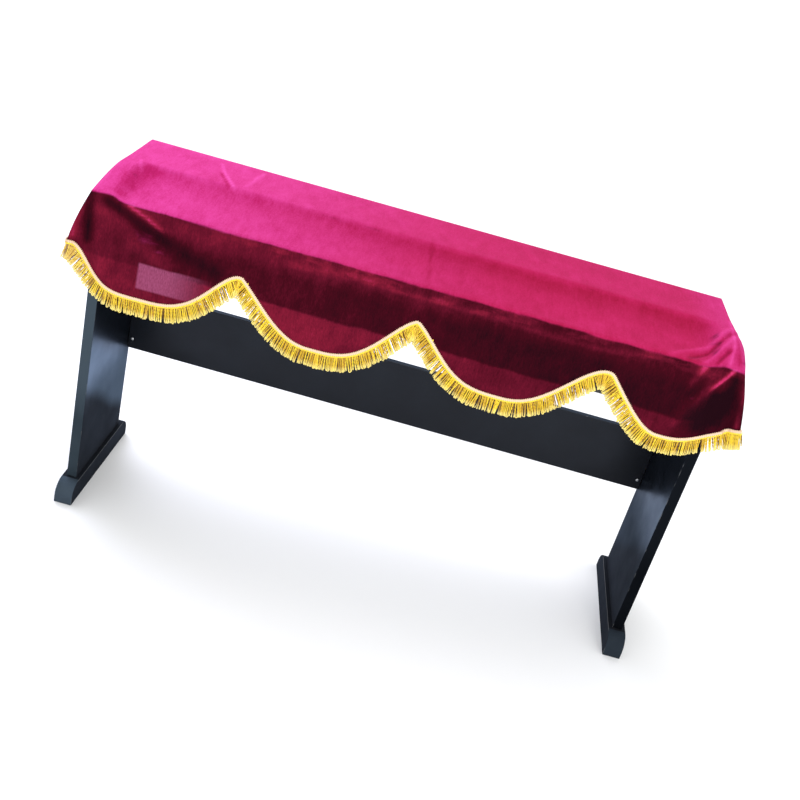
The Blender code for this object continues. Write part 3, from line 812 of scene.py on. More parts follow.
def hem_point(x, y, on_front, on_back):
    """Where the hem hangs below the point x, y of the top's rim."""
    side = -1 if x < 0 else 1
    from_end = HALF_WIDTH - EDGE_TURN - abs(x)
    from_front = y - (FRONT_Y + EDGE_TURN)
    from_back = (BACK_Y - EDGE_TURN) - y
    base_x = side * HALF_WIDTH if from_end < NEAR else x
    if on_front:
        leg = FRONT_LEG_LEFT if side < 0 else FRONT_LEG_RIGHT
        hem_x = base_x + side * read_table(leg, "from_corner", "spread", from_end)
        out = read_table(leg, "from_corner", "out", from_end)
        belly = BELLY_OUT * (1 - swag_share(hem_x)[0]) * ease(from_end / leg[-1].from_corner)
        return Vector((hem_x, FRONT_Y - out - belly, front_hem_z(hem_x)))
    if on_back:
        spread = read_table(BACK_CORNER_LEG, "from_corner", "spread", from_end)
        out = read_table(BACK_CORNER_LEG, "from_corner", "out", from_end)
        return Vector((base_x + side * spread, BACK_Y + out, BACK_HEM_Z))
    spread = -read_table(SIDE_LEG, "from_corner", "spread", from_front)
    spread += read_table(SIDE_BACK_LEG, "from_corner", "spread", from_back)
    out = max(
        read_table(SIDE_LEG, "from_corner", "out", from_front),
        read_table(SIDE_BACK_LEG, "from_corner", "out", from_back),
    )
    hem_y = y + spread
    return Vector((side * (HALF_WIDTH + out), hem_y, side_hem_z(hem_y, side)))


def edge_point(x, y, on_front, on_back):
    """The rim's point on the drop's upright plane, just below the turn."""
    on_side = abs(x) > HALF_WIDTH - EDGE_TURN - NEAR
    stand_off = END_STAND_OFF[x > 0] * ease((STAND_OFF_FROM - y) / (STAND_OFF_FROM - FRONT_Y))
    edge_x = math.copysign(HALF_WIDTH + stand_off, x) if on_side else x
    edge_y = FRONT_Y if on_front else BACK_Y if on_back else y
    return Vector((edge_x, edge_y, top_point(x, y)[0] - EDGE_FALL))


def drop_point(edge, hem, share, on_front, on_back):
    """A point of the hanging part, and its painted fold light and pile tone: share runs from the edge (0)
    to the hem (1).
    """
    point = edge.lerp(hem, share)
    outward = Vector((hem.x - edge.x, hem.y - edge.y, 0.0))
    belly = BULGE * 4 * share * (1 - share)
    if outward.length > NEAR:
        point += outward.normalized() * belly
    if on_back:
        point.y += HEM_LAP if point.z - hem.z < HEM_TURN else 0.0
        point.y += BACK_WAVE * wander(point.x, 0.0, point.z * 0.3 + 0.2, 0.045) * ease(share / 0.3)
        return point, PLAIN_CRUSH * wander(point.x, 0.5, point.z * 0.4, 0.050) * share
    if not on_front:
        ripple = SIDE_WAVE * noise.noise(Vector((point.x * 20.0, point.y * 24.0, point.z * 6.0)))
        point.x += math.copysign(ripple, edge.x) * ease(share / 0.3)
        uneven = PLAIN_CRUSH * wander(0.3, point.y, point.z * 0.4, 0.040) * share
        return point, SIDE_CRUSH[edge.x > 0] + uneven
    push, crush = 0.0, 0.0
    for drag in DRAGS:
        weight = line_weight((point.x, point.z), drag.start, drag.end, drag.half_width, DRAG_FADE)
        push += drag.out * weight
        crush += drag.crush * weight
    wave = noise.noise(Vector((point.x * 22.0, 0.0, point.z * 5.0 + 4.0)))
    push += FRONT_WAVE * wave * ease(share / 0.4)
    point.y = min(point.y - push * ease(share / 0.14), FRONT_Y)
    return point, crush


def spaced(start, end, step):
    """Even places from start up to, but without, end."""
    count = max(1, round((end - start) / step))
    return [start + (end - start) * i / count for i in range(count)]


END_X = HALF_WIDTH - EDGE_TURN
CORNER_X = END_X - 0.060  # the sheet's grid is finest beyond this place,
SHOULDER_X = END_X - 0.200  # and coarsest inside this one
FINE, MEDIUM, COARSE = 0.0025, 0.004, 0.006  # widths of its cells
COLUMNS = (
    spaced(-END_X, -CORNER_X, FINE)
    + spaced(-CORNER_X, -SHOULDER_X, MEDIUM)
    + spaced(-SHOULDER_X, SHOULDER_X, COARSE)
    + spaced(SHOULDER_X, CORNER_X, MEDIUM)
    + spaced(CORNER_X, END_X, FINE)
    + [END_X]
)
CREASE_ZONE = (-0.030, 0.012)  # front to back, the cells are shortest here
ROWS = (
    spaced(PROFILE[0].y, CREASE_ZONE[0], 0.004)
    + spaced(*CREASE_ZONE, 0.0028)
    + spaced(CREASE_ZONE[1], PROFILE[-1].y, 0.0045)
    + [PROFILE[-1].y]
)
DROP_RINGS = 34
DROP_SHARES = [i / DROP_RINGS for i in range(DROP_RINGS + 1)]


def cover_sheet():
    """A flat grid laid over the case, its rim drawn down ring by ring to the hem."""
    pick_nothing()
    cuts = {"x_subdivisions": len(COLUMNS) - 1, "y_subdivisions": len(ROWS) - 1}
    bpy.ops.mesh.primitive_grid_add(size=1.0, **cuts)
    sheet = bpy.context.object
    sheet.name = "velvet_cover"
    build = bmesh.new()
    build.from_mesh(sheet.data)
    tone_and_light_layer = build.verts.layers.float.new("crush")
    place = {}
    for vert in build.verts:
        i = round((vert.co.x + 0.5) * (len(COLUMNS) - 1))
        k = round((vert.co.y + 0.5) * (len(ROWS) - 1))
        x, y = COLUMNS[i], ROWS[k]
        z, crush = top_point(x, y)
        vert.co = (x, y, z)
        vert[tone_and_light_layer] = crush
        place[vert] = (x, y, k == 0, k == len(ROWS) - 1)
    ends = {}
    rim = [edge for edge in build.edges if edge.is_boundary]
    for share in DROP_SHARES:
        made = bmesh.ops.extrude_edge_only(build, edges=rim)["geom"]
        drawn = {}
        for vert in (item for item in made if isinstance(item, bmesh.types.BMVert)):
            above = next(v for v in (e.other_vert(vert) for e in vert.link_edges) if v in place)
            drawn[vert] = place[above]
        for vert, key in drawn.items():
            if key not in ends:
                ends[key] = (edge_point(*key), hem_point(*key))
            vert.co, vert[tone_and_light_layer] = drop_point(*ends[key], share, key[2], key[3])
        place = drawn
        rim = [item for item in made if isinstance(item, bmesh.types.BMEdge) and item.is_boundary]
    bmesh.ops.recalc_face_normals(build, faces=build.faces)
    build.to_mesh(sheet.data)
    build.free()
    return sheet


def attribute(tree, name):
    """A value that the mesh itself carries."""
    node = tree.nodes.new("ShaderNodeAttribute")
    node.attribute_name = name
    return node.outputs["Fac"]


def ramp(tree, value, stops):
    """A value turned into colour along (place, colour) stops."""
    node = tree.nodes.new("ShaderNodeValToRGB")
    tree.links.new(value, node.inputs["Fac"])
    for n, (at, colour) in enumerate(stops):
        stop = node.color_ramp.elements[n] if n < 2 else node.color_ramp.elements.new(at)
        stop.position = at
        stop.color = colour
    return node.outputs["Color"]


# The pile's colour from deep to bright: for the drops in painted shade, for the top in painted light and
# sheen.
SHADED_DROP_PILE = (
    (0.00, (0.0100, 0.0012, 0.0035, 1.0)),
    (1.00, (0.5000, 0.0250, 0.1200, 1.0)),
    (0.30, (0.0420, 0.0014, 0.0062, 1.0)),
    (0.50, (0.0950, 0.0038, 0.0150, 1.0)),
    (0.70, (0.1850, 0.0080, 0.0260, 1.0)),
)
LIT_TOP_PILE = (
    (0.00, (0.160, 0.0040, 0.0190, 1.0)),
    (1.00, (0.590, 0.0400, 0.2100, 1.0)),
    (0.30, (0.300, 0.0070, 0.0410, 1.0)),
    (0.50, (0.395, 0.0120, 0.0730, 1.0)),
    (0.70, (0.475, 0.0200, 0.1150, 1.0)),
)
# Painted sheen: the top's cool violet shine, as colour.
PAINTED_SHEEN_PILE = (
    (0.00, (0.230, 0.0050, 0.0450, 1.0)),
    (1.00, (0.760, 0.1200, 0.4600, 1.0)),
    (0.30, (0.420, 0.0110, 0.1150, 1.0)),
    (0.50, (0.560, 0.0380, 0.2300, 1.0)),
    (0.70, (0.650, 0.0660, 0.3300, 1.0)),
)
# Painted light: a lilac patch on the front drop where light from behind shows through the thin cloth.
BACKLIGHT_LILAC = (0.275, 0.0580, 0.1330, 1.0)
BACKLIGHT_SPOT = ((-0.5535, -0.395), (0.5765, 0.6320))  # x and z reach of the painted patch of light shining through
BACKLIGHT_EDGE = 0.003
BACKLIGHT_FADE = 0.110  # over this length the patch fades out towards its right end
HANGING_LEVEL = 0.507  # how far the untouched pile is brushed on the drops,
LYING_LEVEL = 0.490  # and on the top
CASE_UNDER_Z = 0.622  # below this height nothing dark stands right behind the front drop
UNDER_LIFT = 0.30
SHADE_FROM_Z = 0.700  # below this height the drops are darker
RUB_FOOT = (0.714, 0.726)  # heights over which the rubbed strip below the front edge fades in
RUB_HEAD = (0.752, 0.740)  # and those over which it fades out again
RUB_LIFT = 0.15
VELVET_SHEEN = (1.0, 0.10, 0.42, 1.0)


def painted_backlight(tree, here, weave, on_front):
    """The painted patch of light on the front drop, where light from behind shows through the thin cloth,
    mottled by the weave.
    """
    (left, right), (low, high) = BACKLIGHT_SPOT
    return times(
        tree,
        ranged(tree, here["X"], left - BACKLIGHT_EDGE, left + BACKLIGHT_EDGE),
        ranged(tree, here["X"], right, right - BACKLIGHT_FADE),
        ranged(tree, here["Z"], low - BACKLIGHT_EDGE, low + BACKLIGHT_EDGE),
        ranged(tree, here["Z"], high + BACKLIGHT_EDGE, high - BACKLIGHT_EDGE),
        on_front,
        added(tree, 0.80, swing(tree, weave, 0.9)),
    )


def hanging_colour(tree, place, here, lift, rubs, weave):
    """The drops: darker from half height down, then redder where light comes through below the case."""
    wavy = added(tree, here["Z"], swing(tree, grain(tree, place, 16.0), 0.014))
    on_front = ranged(tree, here["Y"], FRONT_Y + 0.020, FRONT_Y + 0.006)
    shaded = times(
        tree,
        ranged(tree, wavy, SHADE_FROM_Z + 0.020, SHADE_FROM_Z - 0.020),
        ranged(tree, here["X"], -0.62, -0.35, -0.06, -0.19),
    )
    under = times(
        tree,
        ranged(tree, wavy, CASE_UNDER_Z + 0.004, CASE_UNDER_Z - 0.004),
        ranged(tree, here["X"], -0.56, -0.30, 0.35, 1.0),
        ranged(tree, here["X"], 0.54, 0.63, 1.0, 0.25),
        UNDER_LIFT,
    )
    rubbed = times(
        tree,
        ranged(tree, wavy, *RUB_FOOT),
        ranged(tree, wavy, *RUB_HEAD),
        ranged(tree, rubs, 0.44, 0.60),
        ranged(tree, here["X"], -0.44, -0.28),
        on_front,
        RUB_LIFT,
    )
    rightward = ranged(tree, here["X"], -0.30, 0.30, 0.0, -0.17)
    hung = added(tree, lift, HANGING_LEVEL, shaded, under, rubbed, rightward)
    # Painted light shining through the thin cloth, mottled by the weave.
    backlit = painted_backlight(tree, here, weave, on_front)
    return blended(tree, backlit, ramp(tree, hung, SHADED_DROP_PILE), BACKLIGHT_LILAC)


def lying_colour(tree, here, lift, brushed, clouds):
    """The top: painted shade in a band on the slope in front of the crease, and a painted violet sheen
    towards the ends.
    """
    smudged = added(tree, here["Y"], swing(tree, brushed, 0.060))
    # Painted shade: the slope in front of the crease catches less sheen.
    crease_slope_shade = times(
        tree,
        ranged(tree, here["Y"], CREASE_Y - 0.006, CREASE_Y - 0.020),
        ranged(tree, smudged, CREASE_Y - 0.095, CREASE_Y - 0.014),
        ranged(tree, here["X"], -0.60, 0.20, 0.10, 0.15),
        ranged(tree, maths(tree, "ABSOLUTE", here["X"]), END_SLOPE_OUT, END_SLOPE_IN),
    )
    laid = maths(tree, "SUBTRACT", added(tree, lift, LYING_LEVEL), crease_slope_shade)
    # Painted sheen of the cool window light, strongest towards the left end and over the right end block.
    clouded = added(tree, here["X"], swing(tree, clouds, 0.3))
    painted_sheen = added(
        tree,
        ranged(tree, clouded, 0.25, -0.70),
        ranged(tree, here["X"], 0.56, 0.66, 0.0, 0.40),
    )
    return blended(tree, painted_sheen, ramp(tree, laid, LIT_TOP_PILE), ramp(tree, laid, PAINTED_SHEEN_PILE))


def velvet():
    """Short crimson pile with its light painted in: a bright, sheened top, deep shaded drops, and
    highlights and shade along the folds.
    """
    made, tree, shader = new_material("velvet_pile")
    place = object_place(tree)
    here = split_axes(tree, place)
    streaks = grain(tree, place, 210.0, (1.0, 0.22, 0.22), detail=4.0)
    weave = grain(tree, place, 420.0, (1.0, 0.5, 0.35), detail=2.0)
    brushed = grain(tree, place, 44.0, (1.0, 0.45, 0.45), detail=6.0)
    clouds = grain(tree, place, 9.0, (1.0, 1.6, 1.6), detail=4.0)
    rubs = grain(tree, place, 60.0, (0.35, 1.0, 1.0), detail=5.0)
    pile = grain(tree, place, 1500.0, detail=2.0)
    # The mesh carries painted highlights and shade along the folds and the drops' own tone; the noises
    # add the pile's streaks and clouds.
    lift = added(
        tree,
        attribute(tree, "crush"),
        swing(tree, streaks, 0.18),
        swing(tree, brushed, 0.32),
        swing(tree, clouds, 0.26),
        swing(tree, weave, 0.26),
        swing(tree, pile, 0.20),
    )
    hanging = hanging_colour(tree, place, here, lift, rubs, weave)
    lying = lying_colour(tree, here, lift, brushed, clouds)
    # Painted light and shade: the top takes the bright, sheened colours and the drops the deep ones.
    ragged = added(tree, attribute(tree, "upward"), swing(tree, rubs, 0.7))
    tree.links.new(
        blended(tree, ranged(tree, ragged, 0.32, 0.80), hanging, lying),
        shader.inputs["Base Color"],
    )
    shader.inputs["Roughness"].default_value = 0.85
    shader.inputs["Specular IOR Level"].default_value = 0.03
    shader.inputs["Sheen Weight"].default_value = 0.40
    shader.inputs["Sheen Roughness"].default_value = 0.35
    shader.inputs["Sheen Tint"].default_value = VELVET_SHEEN
    bumped(tree, shader, added(tree, times(tree, pile, 0.6), streaks), 0.0006, 0.5)
    return made


COTTON_DEEP = (0.110, 0.012, 0.026, 1.0)
COTTON_PALE = (0.230, 0.034, 0.062, 1.0)


def cotton_back():
    """The velvet's knitted reverse, seen from below: duller and paler, with fine upright rows."""
    made, tree, shader = new_material("cotton_back")
    place = object_place(tree)
    rows = grain(tree, place, 620.0, (1.0, 0.06, 0.06), detail=2.0)
    worn = grain(tree, place, 12.0, detail=4.0)
    shade = added(tree, swing(tree, rows, 0.8), worn)
    tint = blended(tree, shade, COTTON_DEEP, COTTON_PALE)
    tree.links.new(tint, shader.inputs["Base Color"])
    shader.inputs["Roughness"].default_value = 0.9
    shader.inputs["Specular IOR Level"].default_value = 0.2
    bumped(tree, shader, rows, 0.0005, 0.6)
    return made


cover = cover_sheet()
take(cover)
bpy.ops.object.shade_smooth()

# How far each point faces up; it picks the top's painted light over the drops' painted shade.
upward = cover.data.attributes.new("upward", "FLOAT", "POINT")
for vert in cover.data.vertices:
    upward.data[vert.index].value = max(0.0, vert.normal.z)

cover.data.materials.append(velvet())
cover.data.materials.append(cotton_back())
thickness = cover.modifiers.new("thickness", "SOLIDIFY")
thickness.thickness = CLOTH_THICK
thickness.offset = -1.0
thickness.use_even_offset = True
thickness.material_offset = 1
bpy.ops.object.modifier_apply(modifier=thickness.name)

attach(cover, "root")
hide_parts("cover_cloth")


# ---- Back hem stitches ----
# The cloth is turned up once along the back and sewn with one row of lockstitch in a wine thread
# that sinks a little into the pile.

STITCH_PITCH = 0.0040
STITCH_LONG = 0.0028
STITCH_RADIUS = 0.00030
STITCH_UP = 0.0080  # height of the row above the hem
STITCH_TILT = 0.06
WINE_DEEP = (0.090, 0.006, 0.018, 1.0)
WINE_PALE = (0.250, 0.020, 0.055, 1.0)


def stitch_shape():
    """One stitch lying along X, rounded off at both ends."""
    pick_nothing()
    bpy.ops.mesh.primitive_uv_sphere_add(segments=8, ring_count=6, radius=STITCH_RADIUS)
    stitch = bpy.context.object
    stitch.scale.x = STITCH_LONG / (2 * STITCH_RADIUS)
    fix_place(stitch)
    return stitch


def stitch_row():
    """The row along the back hem, from one corner to the other."""
    row = stitch_shape()
    row.name = "hem_stitches"
    build = bmesh.new()
    reach = END_X - STITCH_PITCH
    count = round(2 * reach / STITCH_PITCH)
    for n in range(count + 1):
        x = -reach + 2 * reach * n / count
        key = (x, BACK_Y - EDGE_TURN, False, True)
        edge, hem = edge_point(*key), hem_point(*key)
        share = (edge.z - (hem.z + STITCH_UP)) / (edge.z - hem.z)
        place, _ = drop_point(edge, hem, share, False, True)
        start = len(build.verts)
        build.from_mesh(row.data)
        build.verts.ensure_lookup_table()
        tilt = Matrix.Rotation(STITCH_TILT * wander(x, 0.1, 0.2, 0.010), 4, "Y")
        for vert in build.verts[start:]:
            vert.co = tilt @ vert.co + place
    build.to_mesh(row.data)
    build.free()
    return row


def wine_thread():
    """Matt sewing thread with its twist just showing."""
    made, tree, shader = new_material("wine_thread")
    place = object_place(tree)
    twist = grain(tree, place, 2600.0, (1.0, 1.0, 0.4), detail=1.0)
    tree.links.new(blended(tree, twist, WINE_DEEP, WINE_PALE), shader.inputs["Base Color"])
    shader.inputs["Roughness"].default_value = 0.55
    bumped(tree, shader, twist, 0.0001)
    return made


stitches = stitch_row()
take(stitches)
bpy.ops.object.shade_smooth()
dress(stitches, wine_thread())
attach(stitches, "root")


# ---- Fringe ----
# A ready-made gold trimming sewn over the front and side hems: a ribbed braid with a toothed cream
# upper edge, and below it closely set loops of twisted yellow thread, stiff enough to lean with the hem.

BRAID_TALL = 0.0095
BRAID_DEEP = 0.0036
BRAID_RIB = 0.0039  # length of one rib of the heading
RIB_STEPS = 6
STEP = BRAID_RIB / RIB_STEPS
BRAID_SIDES = 12
BRAID_LIFT = 0.0026  # how far the heading laps over the cloth
TOOTH = 0.20  # how far each rib stands up above the heading's edge, as a share of its half height
LOOP_ROOT = 0.0030  # how far below the hem line the loops leave the heading
LOOP_PITCH = 0.0018  # between one loop of the front row and the next one of the row behind
ROW_BACK = 0.0016
BUNCHED = (0.0042, 0.0010)  # how far the loops draw together, in the front row and in the row behind
JITTER = 0.0006
LOOP_REACH = 0.0341
LOOP_STEPS = 10
PLY_RADIUS = 0.00090
PLY_SPREAD = 0.00076  # how far each ply winds off a loop's middle line
STIFFNESS = 0.65  # 0 would hang plumb on a slope, 1 would stand square to the heading
LAP_FROM_X = 0.682  # the right side's trimming starts on the front, over the end of the front's
LAP_LIFT = 0.0060  # how far above the front's heading it starts,
LAP_FADE = 0.045  # and how far round the corner it has settled onto the hem
KNOTS = (-0.331, 0.059)  # thread ends that stand up from the heading where it was joined
KNOT_RADIUS = 0.0016

GOLD_SHADE = (0.075, 0.016, 0.006, 1.0)  # the row behind, which the front row keeps in its shade
GOLD_DEEP = (0.58, 0.33, 0.008, 1.0)
GOLD_BRIGHT = (0.90, 0.68, 0.022, 1.0)
GOLD_PALE = (0.97, 0.84, 0.28, 1.0)
GOLD_GAP = (0.30, 0.15, 0.010, 1.0)
CREAM = (0.81, 0.57, 0.39, 1.0)
BRAID_SHEEN = (1.0, 0.9, 0.6, 1.0)
SHADED = 0.25  # how bright the row behind is beside the front row

chance = random.Random(11)
Station = namedtuple("Station", "place outward run up")


def hem_path(points):
    """Even stations along a line of hem points, several to each rib of the heading."""
    lengths = [0.0]
    for before, after in zip(points, points[1:]):
        lengths.append(lengths[-1] + (after - before).length)
    count = round(lengths[-1] / STEP)
    places, i = [], 0
    for n in range(count + 1):
        at = min(n * lengths[-1] / count, lengths[-1] - NEAR)
        while lengths[i + 1] < at:
            i += 1
        share = (at - lengths[i]) / (lengths[i + 1] - lengths[i])
        places.append(points[i].lerp(points[i + 1], share))
    path = []
    for n, place in enumerate(places):
        before, after = places[max(n - RIB_STEPS, 0)], places[min(n + RIB_STEPS, count)]
        run = (after - before).normalized()
        outward = Vector((run.y, -run.x, 0.0)).normalized()
        up = outward.cross(run).normalized()
        path.append(Station(place, outward, run, up if up.z > 0 else -up))
    return path


def mesh_piece(name, build):
    """The mesh that was built, as a smooth object of its own."""
    mesh = bpy.data.meshes.new(name)
    build.to_mesh(mesh)
    build.free()
    mesh.shade_smooth()
    made = bpy.data.objects.new(name, mesh)
    bpy.context.scene.collection.objects.link(made)
    return made


def braid(name, path):
    """The heading: a flat ribbed cord swept along the hem, closed at both ends."""
    build = bmesh.new()
    height = build.verts.layers.float.new("height")
    along = build.verts.layers.float.new("along")
    rings = []
    for n, here in enumerate(path):
        wobble = 0.0003 * wander(n * STEP, 0.0, 7.0, 0.006)
        centre = here.place + here.up * (BRAID_LIFT - BRAID_TALL / 2 + wobble)
        centre = centre + here.outward * (BRAID_DEEP - CLOTH_THICK) / 2
        ring = []
        for k in range(BRAID_SIDES):
            angle = 2 * math.pi * k / BRAID_SIDES
            phase = 2 * math.pi * n / RIB_STEPS
            rib = 1 + 0.12 * math.cos(phase + 1.2 * math.sin(angle))
            tooth = 1 + TOOTH * max(0.0, math.sin(angle)) * math.cos(phase + 1.2)
            up = math.sin(angle) * BRAID_TALL / 2 * tooth
            out = math.cos(angle) * BRAID_DEEP / 2 * rib
            vert = build.verts.new(centre + here.up * up + here.outward * out)
            vert[height] = 0.5 + 0.5 * math.sin(angle)
            vert[along] = n / RIB_STEPS
            ring.append(vert)
        rings.append(ring)
    for before, after in zip(rings, rings[1:]):
        for k in range(BRAID_SIDES):
            m = (k + 1) % BRAID_SIDES
            build.faces.new((before[k], before[m], after[m], after[k]))
    build.faces.new(rings[0][::-1])
    build.faces.new(rings[-1])
    bmesh.ops.recalc_face_normals(build, faces=build.faces)
    return mesh_piece(name, build)


def loop_shape(name, points, radius):
    """One hanging loop as a thin closed tube through its points."""
    pick_nothing()
    bpy.ops.curve.primitive_bezier_curve_add()
    thread = bpy.context.object
    thread.name = name
    thread.data.splines.clear()
    line = thread.data.splines.new("POLY")
    line.points.add(len(points) - 1)
    for point, co in zip(line.points, points):
        point.co = (*co, 1.0)
    thread.data.bevel_depth = radius
    thread.data.bevel_resolution = 0
    thread.data.use_fill_caps = True
    bpy.ops.object.convert(target="MESH")
    bpy.ops.object.mode_set(mode="EDIT")
    bpy.ops.mesh.select_all(action="SELECT")
    bpy.ops.mesh.remove_doubles(threshold=0.00002)
    bpy.ops.mesh.normals_make_consistent(inside=False)
    bpy.ops.object.mode_set(mode="OBJECT")
    mesh = thread.data
    bpy.data.objects.remove(thread, do_unlink=True)
    return mesh


def twisted_loop(turns, spread):
    """Two plies of one thread wound round each other, joined by a small bend at the bottom."""
    down = []
    for n in range(LOOP_STEPS + 1):
        share = n / LOOP_STEPS
        angle = 2 * math.pi * turns * share
        wide = spread * (0.80 + 0.30 * math.sin(math.pi * share))
        down.append((wide * math.cos(angle), wide * 0.8 * math.sin(angle), -LOOP_REACH * share))
    up = [(-x, -y, z) for x, y, z in reversed(down)]
    x, y, z = down[-1]
    bend = [(x * 0.6, y * 0.6, z - spread * 0.8), (-x * 0.6, -y * 0.6, z - spread * 0.8)]
    return down + bend + up


def open_loop(width, sway):
    """A loop whose two sides hang apart."""
    half = width / 2
    sides = LOOP_STEPS // 2
    down = []
    for n in range(sides + 1):
        share = n / sides
        wide = half * (0.50 + 0.50 * math.sin(0.8 * math.pi * share))
        down.append((-wide, sway * share, -LOOP_REACH * share))
    up = [(-x, y - 0.0004, z) for x, y, z in reversed(down)]
    x, y, z = down[-1]
    bend = [(x * 0.7, y, z - half * 0.5), (0.0, y, z - half * 0.75), (-x * 0.7, y, z - half * 0.5)]
    return down + bend + up


LOOPS = [
    loop_shape("loop_a", twisted_loop(2.0, PLY_SPREAD), PLY_RADIUS),
    loop_shape("loop_b", twisted_loop(2.3, PLY_SPREAD * 0.9), PLY_RADIUS * 1.06),
    loop_shape("loop_c", twisted_loop(1.7, PLY_SPREAD * 1.15), PLY_RADIUS),
    loop_shape("loop_d", open_loop(0.0046, 0.0006), PLY_RADIUS * 1.25),
    loop_shape("loop_e", open_loop(0.0034, -0.0004), PLY_RADIUS * 1.25),
]
LOOP_SHARES = (0.28, 0.22, 0.14, 0.16, 0.20)


def loops(name, path):
    """Loops in two rows along the heading, each turned, leaned and stretched a little by chance."""
    build = bmesh.new()
    tone = build.verts.layers.float.new("tone")
    hang = build.verts.layers.float.new("hang")
    for n in range(int(len(path) * STEP / LOOP_PITCH)):
        at_hem = n * LOOP_PITCH
        behind = n % 2
        drift = BUNCHED[behind] * wander(at_hem, 0.0, 5.0, 0.009) + chance.uniform(-JITTER, JITTER)
        at = min(max(int((at_hem + LOOP_PITCH / 2 + drift) / STEP), 0), len(path) - 1)
        here = path[at]
        hanging = here.up.lerp(Vector((0.0, 0.0, 1.0)), 1 - STIFFNESS).normalized()
        level = here.outward.cross(hanging).normalized()
        facing = Matrix((level, -here.outward, hanging)).transposed().to_4x4()
        leaning = chance.gauss(0.0, 0.065) + 0.10 * wander(at_hem, 1.0, 2.0, 0.011)
        lean = Matrix.Rotation(leaning, 4, "Y")
        spin = Matrix.Rotation(chance.uniform(-0.5, 0.5), 4, "Z")
        long = 1.0 + chance.uniform(-0.045, 0.045) + 0.045 * wander(at_hem, 9.0, 0.0, 0.020)
        stretch = Matrix.Diagonal((chance.uniform(0.9, 1.2), 1.0, long, 1.0))
        off = (BRAID_DEEP - CLOTH_THICK) / 2 + chance.uniform(-JITTER, JITTER) - ROW_BACK * behind
        root = here.place + here.outward * off - here.up * LOOP_ROOT
        whole = Matrix.Translation(root) @ facing @ lean @ spin @ stretch
        shade = 0.62 + 0.20 * wander(at_hem, 3.0, 0.0, 0.008) + chance.uniform(-0.28, 0.28)
        if behind:
            shade *= SHADED
        start = len(build.verts)
        build.from_mesh(chance.choices(LOOPS, LOOP_SHARES)[0])
        build.verts.ensure_lookup_table()
        for vert in build.verts[start:]:
            vert[tone] = min(1.0, max(0.0, shade))
            vert[hang] = min(1.0, -vert.co.z / LOOP_REACH)
            vert.co = whole @ vert.co
    return mesh_piece(name, build)


def gold_braid():
    """Cream cord along the top, yellow below, with a darker dash between each two ribs."""
    made, tree, shader = new_material("gold_braid")
    place = object_place(tree)
    height = attribute(tree, "height")
    fine = grain(tree, place, 700.0)
    frayed = added(tree, height, swing(tree, fine, 0.25))
    colour = blended(tree, ranged(tree, frayed, 0.32, 0.54), GOLD_BRIGHT, CREAM)
    slanted = added(tree, attribute(tree, "along"), times(tree, height, 0.3))
    from_gap = maths(tree, "SUBTRACT", maths(tree, "FRACT", slanted), 0.5)
    from_middle = maths(tree, "SUBTRACT", height, 0.45)
    dash = times(
        tree,
        ranged(tree, maths(tree, "ABSOLUTE", from_gap), 0.20, 0.04),
        ranged(tree, maths(tree, "ABSOLUTE", from_middle), 0.22, 0.10),
        0.75,
    )
    tree.links.new(blended(tree, dash, colour, GOLD_GAP), shader.inputs["Base Color"])
    shader.inputs["Roughness"].default_value = 0.5
    shader.inputs["Sheen Weight"].default_value = 0.3
    shader.inputs["Sheen Tint"].default_value = BRAID_SHEEN
    bumped(tree, shader, grain(tree, place, 1400.0), 0.0004, 0.6)
    return made


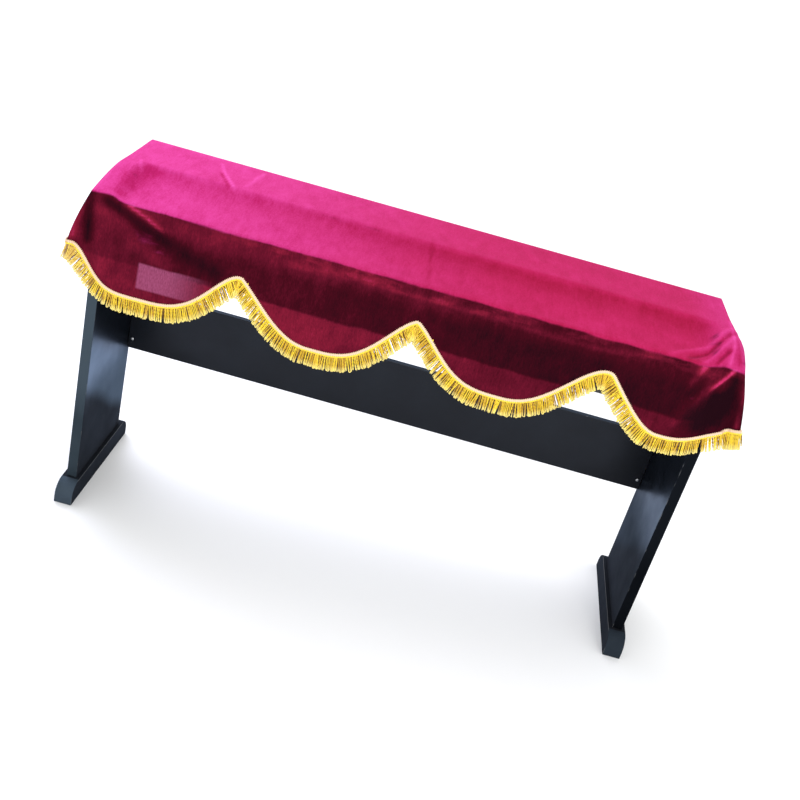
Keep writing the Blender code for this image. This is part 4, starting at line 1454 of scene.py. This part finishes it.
def gold_thread():
    """Glossy yellow thread, deeper in some loops than in others and paler at the tips."""
    made, tree, shader = new_material("gold_thread_loops")
    place = object_place(tree)
    tone = attribute(tree, "tone")
    body = blended(tree, ranged(tree, tone, 0.30, 1.0), GOLD_DEEP, GOLD_BRIGHT)
    body = blended(tree, ranged(tree, tone, 0.0, 0.40), GOLD_SHADE, body)
    tipped = times(tree, ranged(tree, attribute(tree, "hang"), 0.60, 1.0), 0.65)
    colour = blended(tree, tipped, body, GOLD_PALE)
    at_end = ranged(tree, split_axes(tree, place)["X"], -0.640, -0.700, 0.0, 0.20)
    tree.links.new(blended(tree, at_end, colour, CREAM), shader.inputs["Base Color"])
    shader.inputs["Roughness"].default_value = 0.38
    shader.inputs["Specular IOR Level"].default_value = 0.6
    bumped(tree, shader, grain(tree, place, 1800.0, (1.0, 1.0, 0.3)), 0.0003, 0.5)
    return made


def knots_on(path):
    """Threads' knotted ends, standing on the heading's upper edge."""
    made = []
    for x in KNOTS:
        here = min(path, key=lambda station: abs(station.place.x - x))
        centre = here.place + here.up * (BRAID_LIFT + KNOT_RADIUS * 0.6) + here.outward * BRAID_DEEP / 2
        pick_nothing()
        bpy.ops.mesh.primitive_ico_sphere_add(subdivisions=2, radius=KNOT_RADIUS, location=centre)
        made.append(bpy.context.object)
        made[-1].scale = (0.8, 0.8, 1.5)
        fix_place(made[-1])
        bpy.ops.object.shade_smooth()
    for piece in made:
        piece.select_set(True)
    bpy.ops.object.join()
    bpy.context.object.name = "heading_knots"
    return bpy.context.object


braid_finish, loop_finish = gold_braid(), gold_thread()
front_hem = [hem_point(x, ROWS[0], True, False) for x in COLUMNS]
left_hem = [hem_point(-END_X, y, False, False) for y in reversed(ROWS)] + front_hem[:1]
right_hem = [hem_point(END_X, y, False, False) for y in ROWS]

# The right side's trimming laps over the front's and settles to the hem line past the corner.
lapped = [point for point in front_hem if point.x > LAP_FROM_X] + right_hem
for point in lapped:
    settled = ease((point.y - lapped[0].y) / LAP_FADE)
    point += Vector((0.0, -BRAID_DEEP, LAP_LIFT)) * (1 - settled)

for node, points in (("fringe_front", front_hem), ("fringe_left", left_hem), ("fringe_right", lapped)):
    path = hem_path(points)
    heading = braid(node + "_braid", path)
    strands = loops(node + "_loops", path)
    dress(heading, braid_finish)
    dress(strands, loop_finish)
    for piece in (heading, strands):
        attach(piece, "root")
        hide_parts(node)

knots = knots_on(hem_path(front_hem))
dress(knots, braid_finish)
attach(knots, "root")
